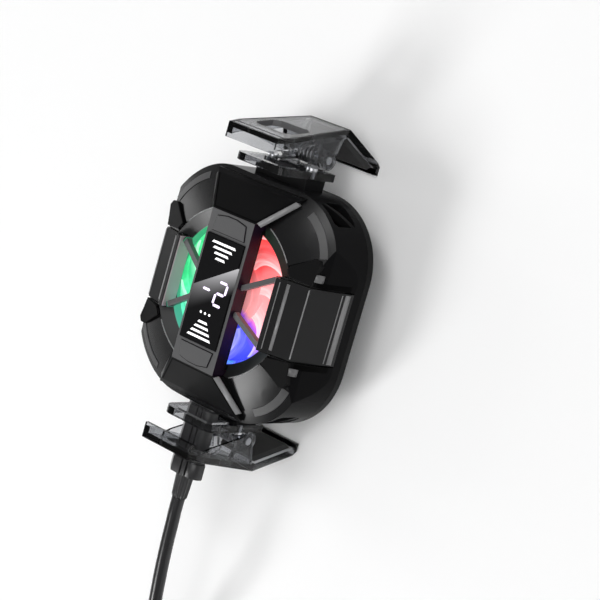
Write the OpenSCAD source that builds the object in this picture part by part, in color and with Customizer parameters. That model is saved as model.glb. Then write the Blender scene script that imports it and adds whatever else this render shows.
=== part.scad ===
// Clip-on phone cooler: a thermoelectric cold plate under a lit fan, held by two pinch clips.
// Millimetres. +Z is the fan axis, Y runs from clip to clip, and the table is z = 0.

/* [Body] */
// Width of the body across X
body_w = 55; // [54:0.5:62]
// Length of the body across Y
body_l = 58; // [57:0.5:64]
// Corner radius of the body outline
body_r = 17.6; // [16:0.2:19]
// Wall of the case shells
wall = 1.8; // [1.4:0.1:2.2]
// Height of the rear case's visible band
band_h = 2; // [1.7:0.1:2.6]
// Height of the cover's dome over the seat face, at the rim of the fan opening
dome_h = 19.8; // [19.4:0.1:20.6]
// Radius of the dome's ball shape
dome_ball_r = 70; // [60:1:90]
// Gap at the seams between cover, panels and wings
seam = 0.1; // [0.05:0.05:0.2]

/* [Fan] */
// Radius of the air duct round the blades
duct_r = 17.3; // [16.9:0.1:17.6]
// Radial gap between the blade tips and the duct
tip_gap = 0.7; // [0.4:0.1:1]
// Number of blades
blades = 9; // [5:1:11]
// Radius of the rotor's hub
hub_r = 9; // [8.4:0.1:9.6]
// Radius of the rotor's shaft
shaft_r = 1; // [0.8:0.1:1.2]
// Running clearance of turning pins and shafts
run_fit = 0.05; // [0.02:0.01:0.08]

/* [Display bar] */
// Width of the bar across the fan
bar_w = 13.8; // [13.2:0.1:14.6]
// Length of the bar
bar_l = 38; // [37.6:0.1:38.6]
// Height of the bar's face over the seat face
bar_top = 23.5; // [23:0.1:24.5]
// Width of the display lens
lens_w = 11.9; // [11:0.1:12.2]
// Length of the display lens
lens_l = 26.3; // [24:0.1:28]
// Thickness of the display lens
lens_t = 1.1; // [0.9:0.1:1.3]

/* [Cooling stack] */
// Thickness of the soft thermal pad
pad_t = 0.8; // [0.5:0.1:1.2]
// Width of the cold plate's face
plate_w = 34; // [30:0.5:35]
// Thickness of the cold plate's flange
flange_t = 1; // [0.8:0.1:1.4]
// Width of the thermoelectric module
tec_w = 20; // [15:1:23]
// Thickness of the thermoelectric module
tec_t = 3; // [2.6:0.1:3.4]
// Width of the heat sink
sink_w = 39; // [36:0.5:39.5]
// Thickness of the heat sink's base
sink_t = 1.6; // [1.2:0.1:2]
// Height of the heat sink's fins
fin_h = 3.6; // [3:0.1:4]

/* [Clips] */
// Width of the clip's fixed bracket
clip_w = 16.4; // [15.8:0.1:18]
// Gap between the body wall and the bracket
neck_l = 2.5; // [2:0.1:4]
// Thickness of the bracket
bracket_t = 1.9; // [1.6:0.1:2.4]
// Height of the bracket's finger end over the seat face
bracket_h = 20.2; // [19.4:0.1:21]
// Thickness of the lever's plastic
lever_t = 1.5; // [1.2:0.1:1.8]
// Depth of the hook below the seat face
hook_drop = 11.2; // [10.8:0.1:13]
// Half width of the hook's lip
hook_half = 12; // [10:0.5:14]
// Radius of the hinge pin
pin_r = 1; // [0.8:0.1:1.2]

/* [Cable] */
// Diameter of the cable
cord_d = 3.4; // [3:0.1:3.4]
// Width of the plug's moulded grip
grip_w = 10; // [9.6:0.1:10.6]
// Thickness of the plug's moulded grip
grip_t = 5.5; // [5:0.1:5.8]
// Turns in each of the coil's two layers
coil_turns = 4; // [3:1:4]

/* [Hidden] */
$fn = 72;
little = 0.01;
seat_z = hook_drop;

// Plan of the body
half_w = body_w / 2;
half_l = body_l / 2;
case_gap = 0.6;
cover_z = case_gap + band_h;
duct_t = 1.4;
funnel_w = 3.4;
rim_r = duct_r + funnel_w;
ball_z = dome_h - sqrt(pow(dome_ball_r, 2) - pow(rim_r + seam, 2));
corner_reach = norm([half_w - body_r, half_l - body_r]) + body_r;
chamfer_slope = 0.75;
chamfer_end_h = 17.6;
side_lean = 1.6;
side_top = 15;
side_slope = 1.24;
side_turn = 6;
rib_low = 15;
post_r = 2.2;
post_x = half_w - 7.3;
post_y = half_l - 9.4;
screw_r = 0.8;
screw_head_r = 1.7;
screw_head_t = 1;
screw_l = 8;
bore_spare = 2;

// Fan opening, spokes and wings
guard_low = 15.6;
guard_step = 16.8;
spoke_w = 1.3;
spoke_angle = 31.7;
spoke_start = [bar_w / 2 + 0.05, 3.2];
rib_reach = 27.6;
rib_w = 1.4;
rib_up = 0.5;
wing_half = 9;
wing_gap = 0.4;
wing_in = 15.8;
wing_sill = 5.6;
wing_low = 17.4;
wing_top = 21.9;
wing_step_x = 18.2;
wing_step_h = 20;
wing_ridge_x = 23.8;
wing_ridge_h = 18.3;
wing_knee_h = 9.2;
wing_edge_h = 6.8;

// Levels of the cooling stack over the seat face
floor_top = case_gap + 1.6;
tec_z = floor_top + flange_t;
sink_z = tec_z + tec_t;
fin_z = sink_z + sink_t;
fan_z = fin_z + fin_h;
motor_z = fan_z + 1.2;
hub_top = motor_z + 4.2;
hub_skin = 0.8;
tube_top = hub_top - hub_skin - 0.4;
sleeve_r = shaft_r + 0.9;
sleeve_floor = 0.4;
tube_r = sleeve_r + 0.8;
flange_over = 1.5;
flange_w = plate_w + 2 * flange_over;
plate_corner = 4.8;
plate_room = 0.2;

// Display bar
tray_t = 0.8;
bar_low = 20.2;
lens_seat = bar_top - 0.6;
foot_low = 18.4;
foot_l = 1.4;

// End panels
panel_in = bar_l / 2 + seam / 2;
panel_out = half_l - 2.3;
panel_out_half = 12.8;
panel_out_z = 18.2;
panel_bevel = 1.1;
panel_low = 15;

// Socket and plug
plug_h = 14.6;
socket_w = 8.94;
socket_t = 3.26;
tip_w = 8.3;
tip_t = 2.4;
tip_l = 6.5;
grip_gap = 0.4;
grip_y = half_l + grip_gap;
grip_end_l = 4;
grip_l = 17.6;
relief_l = 6.5;
relief_w = 4.8;
board_t = 1;
board_z = plug_h - socket_t / 2 - board_t;
socket_y = half_l - wall - 0.2;

// Clips, measured outwards from the fan axis and up from the seat face
bracket_y = half_l + neck_l;
bracket_out = bracket_y + bracket_t;
bracket_foot = 0.3;
tight_fit = 0.02;
pin_y = bracket_out + 3;
pin_h = 2.5;
lug_r = 2.3;
spring_wire = 0.6;
spring_r = 2;
spring_curls = 5.5;
spring_pitch = 1.08;
spring_half = spring_curls * spring_pitch / 2;
spring_side = 0.13;
lug_x = spring_half + spring_wire / 2 + spring_side;
lug_t = 1.4;
ear_x = lug_x + lug_t + 0.2;
ear_t = 1.4;
ear_half = ear_x + ear_t;
lever_front_out = 3.7;
lever_front_h = 25.1;
lever_ridge_out = 8.3;
lever_ridge_drop = 2.8;
lever_front = [pin_y + lever_front_out, lever_front_h];
lever_ridge = [pin_y + lever_ridge_out, -lever_ridge_drop];
lever_span = 3 * lever_ridge_out;
toe_out = 1;
lip_in = 1.1;
hook_toe = pin_y + toe_out;
hook_lip = pin_y - lip_in;
hook_lip_t = 1.3;
lip_low = pin_y - 0.1;
front_half = clip_w / 2 - 0.3;
shoulder_half = clip_w / 2 + 0.5;
shoulder_h = 20.5;
ridge_half = ear_half + 0.1;
pass_half = 6;
grip_pad_t = 1.2;

// The hook's slanted leg: its direction down to the toe and its inward normal
hook_run = [hook_toe, -hook_drop] - lever_ridge;
hook_dir = hook_run / norm(hook_run);
hook_in = [hook_dir[1], -hook_dir[0]];
lever_slope = (lever_ridge[0] - lever_front[0]) / (lever_front[1] - lever_ridge[1]);
hook_shift = lever_ridge + hook_in * lever_t;
// Where the inner faces of the lever's two legs meet
inner_t = (lever_front[0] - lever_t + lever_slope * (lever_front[1] - hook_shift[1]) - hook_shift[0])
    / (hook_dir[0] + lever_slope * hook_dir[1]);
lever_inner = hook_shift + hook_dir * inner_t;
lip_top = -hook_drop + hook_lip_t;
lip_meet = lever_inner + hook_dir * ((lip_top - lever_inner[1]) / hook_dir[1]);

// Cable route from the strain relief to the coil, and the coil beside it
relief_end = grip_y + grip_l + relief_l;
plug_z = seat_z + plug_h;
cord_floor = 2.3;
cord_route = [[0, -relief_end, plug_z], [0, -relief_end - cord_d, plug_z], [0, -60, 25.6], [0, -66, 25.3],
    [0, -72, 24.8], [0, -78, 24.1], [-0.4, -84, 22.8], [-2.1, -90, 20.3], [-4.4, -96, 16.4],
    [-6.6, -102, 11.6], [-7.9, -108, 7], [-8, -114, 3.7], [-8, -120, cord_floor], [-8, -126, cord_floor]];
coil_pitch = cord_d + 0.5;
coil_mid = 20.4;
coil_spread = coil_turns * coil_pitch / 2;
coil_out = coil_mid + coil_spread;
coil_start = cord_route[len(cord_route) - 1];
coil_lead = 8;
lead_r = 15;
plug_clear = 0.1;
tie_t = 0.5;
tie_w = 5;
usb_a_w = 15.4;
usb_a_t = 7.6;
usb_a_l = 22;
usb_a_shell_w = 12;
usb_a_shell_t = 4.5;
usb_a_shell_l = 12;
tube_sides = 8;

black = [0.05, 0.05, 0.055];
satin_black = [0.12, 0.12, 0.13];
bezel_grey = [0.33, 0.33, 0.34];
smoke = [0.25, 0.25, 0.26, 0.7];
steel = [0.75, 0.76, 0.78];

// Helpers

// An outline from its right half, listed from one end to the other
function both_sides(half) = concat(half, [for (i = [len(half) - 1 : -1 : 0]) [-half[i][0], half[i][1]]]);

module at_seat(z = 0) {
    translate([0, 0, seat_z + z]) children();
}

module rounded(w, l, r) {
    square([w - 2 * r, l], center = true);
    square([w, l - 2 * r], center = true);
    for (x = [-1, 1], y = [-1, 1]) translate([x * (w / 2 - r), y * (l / 2 - r)]) circle(r);
}

module slab(w, l, r, t) {
    linear_extrude(t) rounded(w, l, r);
}

// A side view in Y and height, pushed out along X
module from_side(w) {
    rotate([90, 0, 90]) linear_extrude(w, center = true) children();
}

// A front view in X and height, pushed out along Y
module from_front(l) {
    rotate([90, 0, 0]) linear_extrude(l, center = true) children();
}

module on_both_ends() {
    children();
    rotate(180) children();
}

module at_posts() {
    for (x = [-1, 1], y = [-1, 1]) translate([x * post_x, y * post_y, 0]) children();
}

module stadium(w, t) {
    square([w - t, t], center = true);
    for (x = [-1, 1]) translate([x * (w - t) / 2, 0]) circle(t / 2);
}

// A bar of round-ended section that runs along -Y from y
module plug_bar(w, t, y, l, h) {
    translate([0, -y, plug_z + h]) rotate([90, 0, 0]) linear_extrude(l) stadium(w, t);
}

// One tube swept along points, with flat ends
function unit(v) = v / norm(v);
function tangent(p, i) = unit(p[min(i + 1, len(p) - 1)] - p[max(i - 1, 0)]);
function ring(p, i, r, sides, up) = let (
    t = tangent(p, i),
    a = unit(cross(t, up)),
    b = cross(a, t)
) [for (k = [0 : sides - 1]) p[i] + r * (a * cos(360 * k / sides) + b * sin(360 * k / sides))];

module tube(p, r, sides, up) {
    n = len(p);
    last = (n - 1) * sides;
    points = [for (i = [0 : n - 1]) each ring(p, i, r, sides, up)];
    sides_a = [for (i = [0 : n - 2], k = [0 : sides - 1])
        [i * sides + k, i * sides + (k + 1) % sides, (i + 1) * sides + k]];
    sides_b = [for (i = [0 : n - 2], k = [0 : sides - 1])
        [i * sides + (k + 1) % sides, (i + 1) * sides + (k + 1) % sides, (i + 1) * sides + k]];
    cap_a = [for (k = [1 : sides - 2]) [0, k + 1, k]];
    cap_b = [for (k = [1 : sides - 2]) [last, last + k, last + k + 1]];
    polyhedron(points, concat(sides_a, sides_b, cap_a, cap_b));
}

function path_length(p, i = 1) = i < len(p) ? norm(p[i] - p[i - 1]) + path_length(p, i + 1) : 0;

// Least gap between turns of one tube, measured on points further apart than skip
function tube_gap(p, r, skip) = min([for (i = [0 : len(p) - 1 - skip], j = [i + skip : len(p) - 1])
    norm(p[i] - p[j])]) - 2 * r;

// Case

module body_plan(inset = 0) {
    rounded(body_w - 2 * inset, body_l - 2 * inset, body_r - inset);
}

module dome_solid(inset = 0) {
    intersection() {
        translate([0, 0, cover_z - (inset > 0 ? 1 : 0)]) linear_extrude(dome_h) body_plan(inset);
        translate([0, 0, ball_z]) sphere(dome_ball_r - inset, $fn = 180);
        side_trim(inset);
        if (inset == 0) chamfer_cone();
    }
}

// How far the sides have leaned in at a height
function side_in(h) = side_lean * max(0, h - wing_sill) / (side_top - wing_sill);

// Cross-section of the sides: upright to the sill, leaning in above it, then turning over to the dome
module side_trim(inset) {
    low = half_w - inset;
    high = low - side_lean;
    top = [high - side_turn, side_top + side_turn * side_slope];
    right = [[low, 0], [low, wing_sill], [high, side_top], top];
    left = [for (k = [len(right) - 1 : -1 : 0]) [-right[k][0], right[k][1]]];
    from_front(2 * body_l) polygon(concat(right, left));
}

// Cone that trims the dome's corners with a narrow band
module chamfer_cone() {
    reach = 2 * corner_reach;
    low_z = chamfer_end_h - (reach - half_l) * chamfer_slope;
    translate([0, 0, low_z]) cylinder(h = reach * chamfer_slope, r1 = reach, r2 = little);
}

module wing_window(gap, sill) {
    for (m = [0, 1]) mirror([m, 0, 0])
        translate([wing_in - gap, -wing_half - gap, sill])
            cube([half_w, 2 * (wing_half + gap), 2 * dome_h]);
}

module panel_plan(gap) {
    in_half = bar_w / 2 + panel_bevel + gap;
    out_half = panel_out_half + panel_bevel + gap;
    out_y = panel_out + panel_bevel + gap;
    polygon([[-in_half, panel_in - gap], [in_half, panel_in - gap], [out_half, out_y], [-out_half, out_y]]);
}

module panel_pocket() {
    on_both_ends() translate([0, 0, panel_low - seam]) linear_extrude(dome_h) panel_plan(seam);
}

// Raised rib over the dome in line with each spoke
module dome_ribs(width, up) {
    intersection() {
        for (a = [spoke_angle, 180 - spoke_angle, 180 + spoke_angle, -spoke_angle])
            rotate(a) translate([rim_r + seam, -width / 2, rib_low])
                cube([rib_reach - rim_r, width, dome_h]);
        translate([0, 0, ball_z]) sphere(dome_ball_r + up, $fn = 180);
    }
}

module rib_knobs() {
    knob_r = 1.2;
    knob_z = 16;
    for (a = [spoke_angle, 180 - spoke_angle, 180 + spoke_angle, -spoke_angle])
        rotate(a) translate([rib_reach, 0, knob_z]) cylinder(h = 2.2, r = knob_r, $fn = 6);
}

// Air outlets in the four rounded corners, each with a slanted fin
module corner_vents() {
    vent_angle = 58;
    vent_w = 7.6;
    vent_low = 5;
    vent_h = 8.4;
    fin_w = 1.1;
    fin_tilt = 38;
    for (x = [0, 1], y = [0, 1]) mirror([x, 0, 0]) mirror([0, y, 0])
        translate([half_w - body_r, half_l - body_r, vent_low])
            rotate(vent_angle) translate([body_r - 2 * wall, 0, vent_h / 2]) rotate([90, 0, 90])
                difference() {
                    linear_extrude(3 * wall) rounded(vent_w, vent_h, 1.6);
                    rotate(fin_tilt) translate([-vent_w, -fin_w / 2, wall / 2])
                        cube([2 * vent_w, fin_w, 2 * wall]);
                }
}

module necks() {
    neck_low = 3.2;
    neck_top = 10.5;
    on_both_ends() translate([-clip_w / 2 + 0.2, half_l - wall, neck_low])
        cube([clip_w - 0.4, wall + neck_l, neck_top - neck_low]);
}

module at_bracket_screws() {
    screw_x = clip_w / 2 - 1.8;
    screw_h = 7.5;
    on_both_ends() for (x = [-1, 1])
        translate([x * screw_x, bracket_out, screw_h]) rotate([-90, 0, 0]) children();
}

module socket_hole() {
    translate([0, -half_l + 3 * wall, plug_h]) rotate([90, 0, 0]) linear_extrude(4 * wall)
        stadium(socket_w + 0.6, socket_t + 0.6);
}

module front_cover() {
    groove_w = 3.2;
    groove_t = 0.6;
    color(black) at_seat() difference() {
        union() {
            difference() {
                dome_solid();
                dome_solid(wall);
                difference() {
                    dome_ribs(groove_w, 1);
                    translate([0, 0, ball_z]) sphere(dome_ball_r - groove_t, $fn = 180);
                }
            }
            dome_ribs(rib_w, rib_up);
            rib_knobs();
            necks();
            intersection() {
                at_posts() translate([0, 0, cover_z]) cylinder(h = dome_h, r = post_r);
                dome_solid();
            }
        }
        cylinder(h = 2 * dome_h, r = rim_r + seam);
        wing_window(wing_gap, wing_sill);
        panel_pocket();
        corner_vents();
        socket_hole();
        at_posts() translate([0, 0, case_gap]) cylinder(h = screw_l + bore_spare, r = screw_r + run_fit);
        at_bracket_screws() translate([0, 0, -bracket_t - neck_l - wall])
            cylinder(h = neck_l + wall, r = screw_r + run_fit);
    }
}

module rear_case() {
    lap_gap = 0.15;
    lap_h = 2.4;
    lap_in = wall + lap_gap;
    window = plate_w + 2 * plate_room;
    window_corner = plate_corner + plate_room;
    color(satin_black) at_seat() difference() {
        union() {
            translate([0, 0, case_gap]) linear_extrude(floor_top - case_gap) body_plan();
            translate([0, 0, case_gap]) linear_extrude(band_h) difference() {
                body_plan();
                body_plan(wall);
            }
            translate([0, 0, case_gap]) linear_extrude(band_h + lap_h) difference() {
                body_plan(lap_in);
                body_plan(lap_in + 1);
            }
            for (x = [-1, 1]) translate([x * 8, -half_l + 5.4, case_gap])
                cylinder(h = board_z - case_gap, r = 1.6);
        }
        translate([0, 0, -little]) slab(window, window, window_corner, floor_top + 1);
        at_posts() {
            cylinder(h = 2 * cover_z, r = screw_r + 0.2);
            cylinder(h = case_gap + screw_head_t, r = screw_head_r + 0.2);
            translate([0, 0, floor_top]) cylinder(h = 2 * band_h + lap_h, r = post_r + lap_gap);
        }
    }
}

module case_screws() {
    color(steel) at_seat() at_posts() {
        translate([0, 0, case_gap]) cylinder(h = screw_head_t, r = screw_head_r);
        translate([0, 0, case_gap]) cylinder(h = screw_l, r = screw_r);
    }
}

// Sloping end panel with bevelled edges
module end_panel() {
    in_half = bar_w / 2;
    rim_z = dome_h - 0.3;
    out_y = panel_out + panel_bevel;
    lip_z = 17.2;
    in_edge = in_half + panel_bevel;
    out_edge = panel_out_half + panel_bevel;
    points = [[-in_half, panel_in, bar_top], [in_half, panel_in, bar_top],
        [panel_out_half, panel_out, panel_out_z], [-panel_out_half, panel_out, panel_out_z],
        [-in_edge, panel_in, rim_z], [in_edge, panel_in, rim_z],
        [out_edge, out_y, lip_z], [-out_edge, out_y, lip_z],
        [-in_edge, panel_in, panel_low], [in_edge, panel_in, panel_low],
        [out_edge, out_y, panel_low], [-out_edge, out_y, panel_low]];
    faces = [[3, 2, 1, 0], [0, 1, 5, 4], [1, 2, 6, 5], [2, 3, 7, 6], [3, 0, 4, 7],
        [4, 5, 9, 8], [5, 6, 10, 9], [6, 7, 11, 10], [7, 4, 8, 11], [8, 9, 10, 11]];
    notch = socket_w + 2;
    difference() {
        polyhedron(points, faces);
        translate([-notch / 2, panel_in - 1, panel_low - 1]) cube([notch, panel_out, 2.6]);
    }
}

module upper_end_panel() {
    color(satin_black) at_seat() end_panel();
}

module lower_end_panel() {
    color(satin_black) at_seat() rotate(180) end_panel();
}

// Side wing: a raised inner bar, a step, and a facet down to the sill
module wing() {
    skin = 1.6;
    foot = wing_sill + seam;
    edge_x = half_w - side_in(foot);
    knee_x = half_w - side_in(wing_knee_h);
    fold_in = 1.3;
    bar_outline = [[wing_in, wing_low], [wing_in, wing_top - 0.3], [wing_in + 0.4, wing_top],
        [wing_in + 1.5, wing_top - 0.4]];
    outer = [[wing_step_x, wing_step_h], [wing_ridge_x, wing_ridge_h], [knee_x, wing_knee_h],
        [edge_x, wing_edge_h], [edge_x, foot]];
    inner = [[edge_x - skin, foot], [edge_x - skin, wing_edge_h - 0.4], [knee_x - skin, wing_knee_h - 0.5],
        [wing_ridge_x - fold_in, wing_ridge_h - fold_in], [wing_step_x + 0.6, wing_low],
        [wing_in + 1.7, wing_low]];
    from_front(2 * wing_half) polygon(concat(bar_outline, outer, inner));
}

module left_wing() {
    color(satin_black) at_seat() mirror([1, 0, 0]) wing();
}

module right_wing() {
    color(satin_black) at_seat() wing();
}

// Display bar across the fan

module spine() {
    plate_in = lens_l / 2 + 0.9;
    plate_out = bar_l / 2 - 0.8;
    plate_shoulder = plate_out - 0.6;
    plate_in_half = bar_w / 2 - 1.7;
    plate_out_half = plate_in_half - 0.6;
    plate_tip_half = 1.5;
    plate_up = 0.25;
    ledge = 0.7;
    color(bezel_grey) at_seat() difference() {
        union() {
            translate([-bar_w / 2, -bar_l / 2, bar_low]) cube([bar_w, bar_l, bar_top - bar_low]);
            on_both_ends() translate([-bar_w / 2, bar_l / 2 - foot_l, foot_low])
                cube([bar_w, foot_l, bar_top - foot_low]);
            on_both_ends() translate([0, 0, bar_top]) linear_extrude(plate_up)
                polygon(both_sides([[plate_in_half, plate_in], [plate_out_half, plate_shoulder],
                    [plate_tip_half, plate_out]]));
        }
        translate([-lens_w / 2 - seam, -lens_l / 2 - seam, lens_seat])
            cube([lens_w + 2 * seam, lens_l + 2 * seam, bar_top]);
        translate([-lens_w / 2 + ledge, -lens_l / 2 + ledge, 0])
            cube([lens_w - 2 * ledge, lens_l - 2 * ledge, bar_top]);
    }
}

module display_lens() {
    color([0.02, 0.02, 0.025]) at_seat(lens_seat) translate([-lens_w / 2, -lens_l / 2, 0])
        cube([lens_w, lens_l, lens_t]);
}

module display_tray() {
    tray_l = bar_l - 2 * foot_l - 2 * seam;
    color(black) at_seat(bar_low - tray_t) translate([-bar_w / 2, -tray_l / 2, 0])
        cube([bar_w, tray_l, tray_t]);
}

module display_board() {
    w = lens_w - 1.8;
    l = lens_l - 1.8;
    color("darkgreen") at_seat(bar_low) translate([-w / 2, -l / 2, 0]) cube([w, l, board_t]);
}

module digit_block() {
    w = 7.6;
    l = 9;
    color([0.85, 0.85, 0.88]) at_seat(bar_low + board_t) translate([-w / 2, -l / 2, 0])
        cube([w, l, lens_seat - bar_low - board_t - seam]);
}

// Funnel ring round the fan opening, with four spokes up to the bar
module fan_guard() {
    collar_r = duct_r + duct_t;
    funnel_low = 18.2;
    spoke_run = (wing_in - 0.2 - spoke_start[0]) / cos(spoke_angle);
    spoke_top = 22.2;
    spoke_end_top = 20.6;
    spoke_foot = 17.2;
    spoke_deep = 1.5;
    foot_run = spoke_run - 0.3;
    color(black) at_seat() difference() {
        union() {
            rotate_extrude() polygon([[duct_r, guard_low], [collar_r, guard_low], [collar_r, guard_step],
                [rim_r, guard_step], [rim_r, dome_h], [duct_r, funnel_low]]);
            for (x = [0, 1], y = [0, 1]) mirror([x, 0, 0]) mirror([0, y, 0])
                translate(spoke_start) rotate(spoke_angle) from_front(spoke_w)
                    polygon([[0, spoke_top], [spoke_run, spoke_end_top], [spoke_run, spoke_foot],
                        [foot_run, spoke_foot], [foot_run, spoke_foot + 1.2],
                        [spoke_run - 2.2, spoke_foot + 2.2], [0, spoke_top - spoke_deep]]);
        }
        wing_window(seam, guard_step - seam);
        translate([0, 0, guard_step - panel_low]) panel_pocket();
        translate([-bar_w / 2 - seam, -2 * rim_r, foot_low]) cube([bar_w + 2 * seam, 4 * rim_r, dome_h]);
    }
}

// Fan

module fan_frame() {
    arm_w = 2.4;
    color([0.8, 0.8, 0.82, 0.6]) at_seat(fan_z) difference() {
        union() {
            difference() {
                cylinder(h = guard_low - fan_z, r = duct_r + duct_t);
                translate([0, 0, -1]) cylinder(h = dome_h, r = duct_r);
            }
            for (a = [45 : 90 : 315]) rotate(a) translate([0, -arm_w / 2, 0])
                cube([duct_r + duct_t / 2, arm_w, motor_z - fan_z]);
            cylinder(h = motor_z - fan_z, r = hub_r - hub_skin);
            cylinder(h = tube_top - fan_z, r = tube_r);
        }
        translate([0, 0, sleeve_floor]) cylinder(h = dome_h, r = sleeve_r + tight_fit);
    }
}

module bearing_sleeve() {
    color("goldenrod") at_seat(fan_z + sleeve_floor) difference() {
        cylinder(h = tube_top - fan_z - sleeve_floor, r = sleeve_r);
        translate([0, 0, sleeve_floor]) cylinder(h = dome_h, r = shaft_r + run_fit);
    }
}

module stator() {
    pole_out = hub_r - 2.1;
    stack_h = 2.4;
    pole_w = 1.6;
    shoe_w = 6.8;
    winding_w = 3;
    winding_l = 1.4;
    color("peru") at_seat(motor_z) difference() {
        union() {
            cylinder(h = stack_h, r = tube_r + 1.2);
            for (a = [0 : 90 : 270]) rotate(a) {
                translate([0, -pole_w / 2, 0.6]) cube([pole_out - 0.4, pole_w, 1.2]);
                translate([tube_r + 1.5, -winding_w / 2, 0.1]) cube([winding_l, winding_w, 2.2]);
                intersection() {
                    translate([pole_out - 1.1, -shoe_w / 2, 0.3]) cube([1.2, shoe_w, 1.8]);
                    cylinder(h = stack_h, r = pole_out);
                }
            }
        }
        translate([0, 0, -1]) cylinder(h = dome_h, r = tube_r + tight_fit);
    }
}

module rotor() {
    blade_tilt = 38;
    blade_chord = 5;
    blade_t = 0.8;
    tip_r = duct_r - tip_gap;
    low = motor_z + 0.3;
    color([0.9, 0.92, 0.95, 0.7]) at_seat() difference() {
        union() {
            translate([0, 0, low]) cylinder(h = hub_top - low, r = hub_r);
            intersection() {
                for (k = [0 : blades - 1]) rotate(k * 360 / blades)
                    translate([hub_r - 0.4, 0, (low + hub_top) / 2]) rotate([blade_tilt, 0, 0])
                        translate([0, -blade_chord / 2, -blade_t / 2]) cube([tip_r, blade_chord, blade_t]);
                translate([0, 0, low]) cylinder(h = hub_top - low, r = tip_r);
            }
        }
        translate([0, 0, low - 1]) cylinder(h = hub_top - low + 1 - hub_skin, r = hub_r - hub_skin);
    }
}

module rotor_magnet() {
    color("dimgray") at_seat(motor_z + 0.4) difference() {
        cylinder(h = hub_top - hub_skin - motor_z - 0.4, r = hub_r - hub_skin);
        translate([0, 0, -1]) cylinder(h = dome_h, r = hub_r - hub_skin - 0.9);
    }
}

module rotor_shaft() {
    color(steel) at_seat(fan_z + 0.9) cylinder(h = hub_top - hub_skin - fan_z - 0.9, r = shaft_r);
}

// Lights

led_mid_r = duct_r + 3.1;
led_board_t = 0.8;

module led_board() {
    notch_half = 9.6;
    color("white") at_seat(fan_z) difference() {
        cylinder(h = led_board_t, r = led_mid_r + 1.2);
        translate([0, 0, -1]) cylinder(h = dome_h, r = led_mid_r - 1.2);
        translate([-notch_half, -2 * half_l, -1]) cube([2 * notch_half, 2 * half_l, dome_h]);
    }
}

module leds() {
    led_w = 1.6;
    color("lime") at_seat(fan_z + led_board_t) for (a = [-45 : 30 : 225]) rotate(a)
        translate([led_mid_r - led_w / 2, -led_w / 2, 0]) cube([led_w, led_w, 1]);
}

// Cooling stack

module heat_sink() {
    fin_t = 0.8;
    fin_pitch = 2.6;
    sink_corner = 6;
    fins = floor((sink_w / 2 - 1) / fin_pitch);
    color("silver") at_seat(sink_z) {
        slab(sink_w, sink_w, sink_corner, sink_t);
        intersection() {
            slab(sink_w, sink_w, sink_corner, sink_t + fin_h);
            for (k = [-fins : fins]) translate([k * fin_pitch - fin_t / 2, -half_l, 0])
                cube([fin_t, 2 * half_l, sink_t + fin_h]);
        }
    }
}

module tec_module() {
    ceramic_t = 0.7;
    cells = 5;
    cell = tec_w / (cells + 1);
    leg_w = 1.6;
    color("white") at_seat(tec_z) {
        for (z = [0, tec_t - ceramic_t]) translate([-tec_w / 2, -tec_w / 2, z])
            cube([tec_w, tec_w, ceramic_t]);
        for (i = [1 : cells], j = [1 : cells])
            translate([i * cell - tec_w / 2, j * cell - tec_w / 2, 0])
                linear_extrude(tec_t) square(leg_w, center = true);
    }
}

module foam_gasket() {
    outer = tec_w + 9;
    color("dimgray") at_seat(tec_z) linear_extrude(tec_t - 0.1) difference() {
        rounded(outer, outer, 2);
        square(tec_w + 0.6, center = true);
    }
}

module cold_plate() {
    color("silver") at_seat() {
        translate([0, 0, pad_t]) slab(plate_w, plate_w, plate_corner, floor_top - pad_t);
        translate([0, 0, floor_top]) slab(flange_w, flange_w, plate_corner, flange_t);
    }
}

module thermal_pad() {
    pad_in = 1;
    pad_w = plate_w - 2 * pad_in;
    color("lightgray") at_seat() slab(pad_w, pad_w, plate_corner - pad_in, pad_t);
}

module power_board() {
    board_l = 7.4;
    board_w = 18.8;
    color("darkgreen") at_seat(board_z) translate([-board_w / 2, -socket_y, 0])
        cube([board_w, board_l, board_t]);
}

module usb_socket() {
    socket_l = 7.3;
    back_t = 0.6;
    tip_gap_w = 0.1;
    color(steel) translate([0, -socket_y + socket_l, plug_z]) rotate([90, 0, 0]) difference() {
        linear_extrude(socket_l) stadium(socket_w, socket_t);
        translate([0, 0, back_t]) linear_extrude(socket_l) stadium(tip_w + tip_gap_w, tip_t + tip_gap_w);
    }
}

// Clips. Each is drawn at the upper end and turned half a turn for the lower end.

module bracket() {
    cut_half = pass_half - 0.1;
    cut_low = plug_h - 3.4;
    cut_top = plug_h + 3.6;
    cut_corner = 1;
    lug_top = 7.4;
    nose_r = 3;
    difference() {
        union() {
            translate([0, bracket_out, 0]) from_front_plate(bracket_t, nose_r);
            for (x = [-1, 1]) translate([x * (lug_x + lug_t / 2), 0, 0]) from_side(lug_t) {
                translate([pin_y, pin_h]) circle(lug_r);
                polygon([[bracket_out - 1, bracket_foot + 0.1], [pin_y, pin_h - lug_r],
                    [pin_y, pin_h + lug_r], [bracket_out - 1, lug_top]]);
            }
        }
        translate([0, bracket_y, 0]) from_front(4 * bracket_t)
            polygon(both_sides([[cut_half, cut_low], [cut_half, cut_top - cut_corner],
                [cut_half - cut_corner, cut_top]]));
        translate([0, pin_y, pin_h]) rotate([0, 90, 0])
            cylinder(h = clip_w, r = pin_r + tight_fit, center = true);
        at_bracket_screws() translate([0, 0, -2 * bracket_t])
            cylinder(h = 3 * bracket_t, r = screw_r + run_fit);
    }
}

// Upright plate whose outer face is at y = 0, with two round corners at its finger end
module from_front_plate(t, r) {
    translate([0, -t / 2, 0]) from_front(t) {
        translate([-clip_w / 2, bracket_foot]) square([clip_w, bracket_h - r - bracket_foot]);
        translate([-clip_w / 2 + r, bracket_foot]) square([clip_w - 2 * r, bracket_h - bracket_foot]);
        for (x = [-1, 1]) translate([x * (clip_w / 2 - r), bracket_h - r]) circle(r);
    }
}

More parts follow.
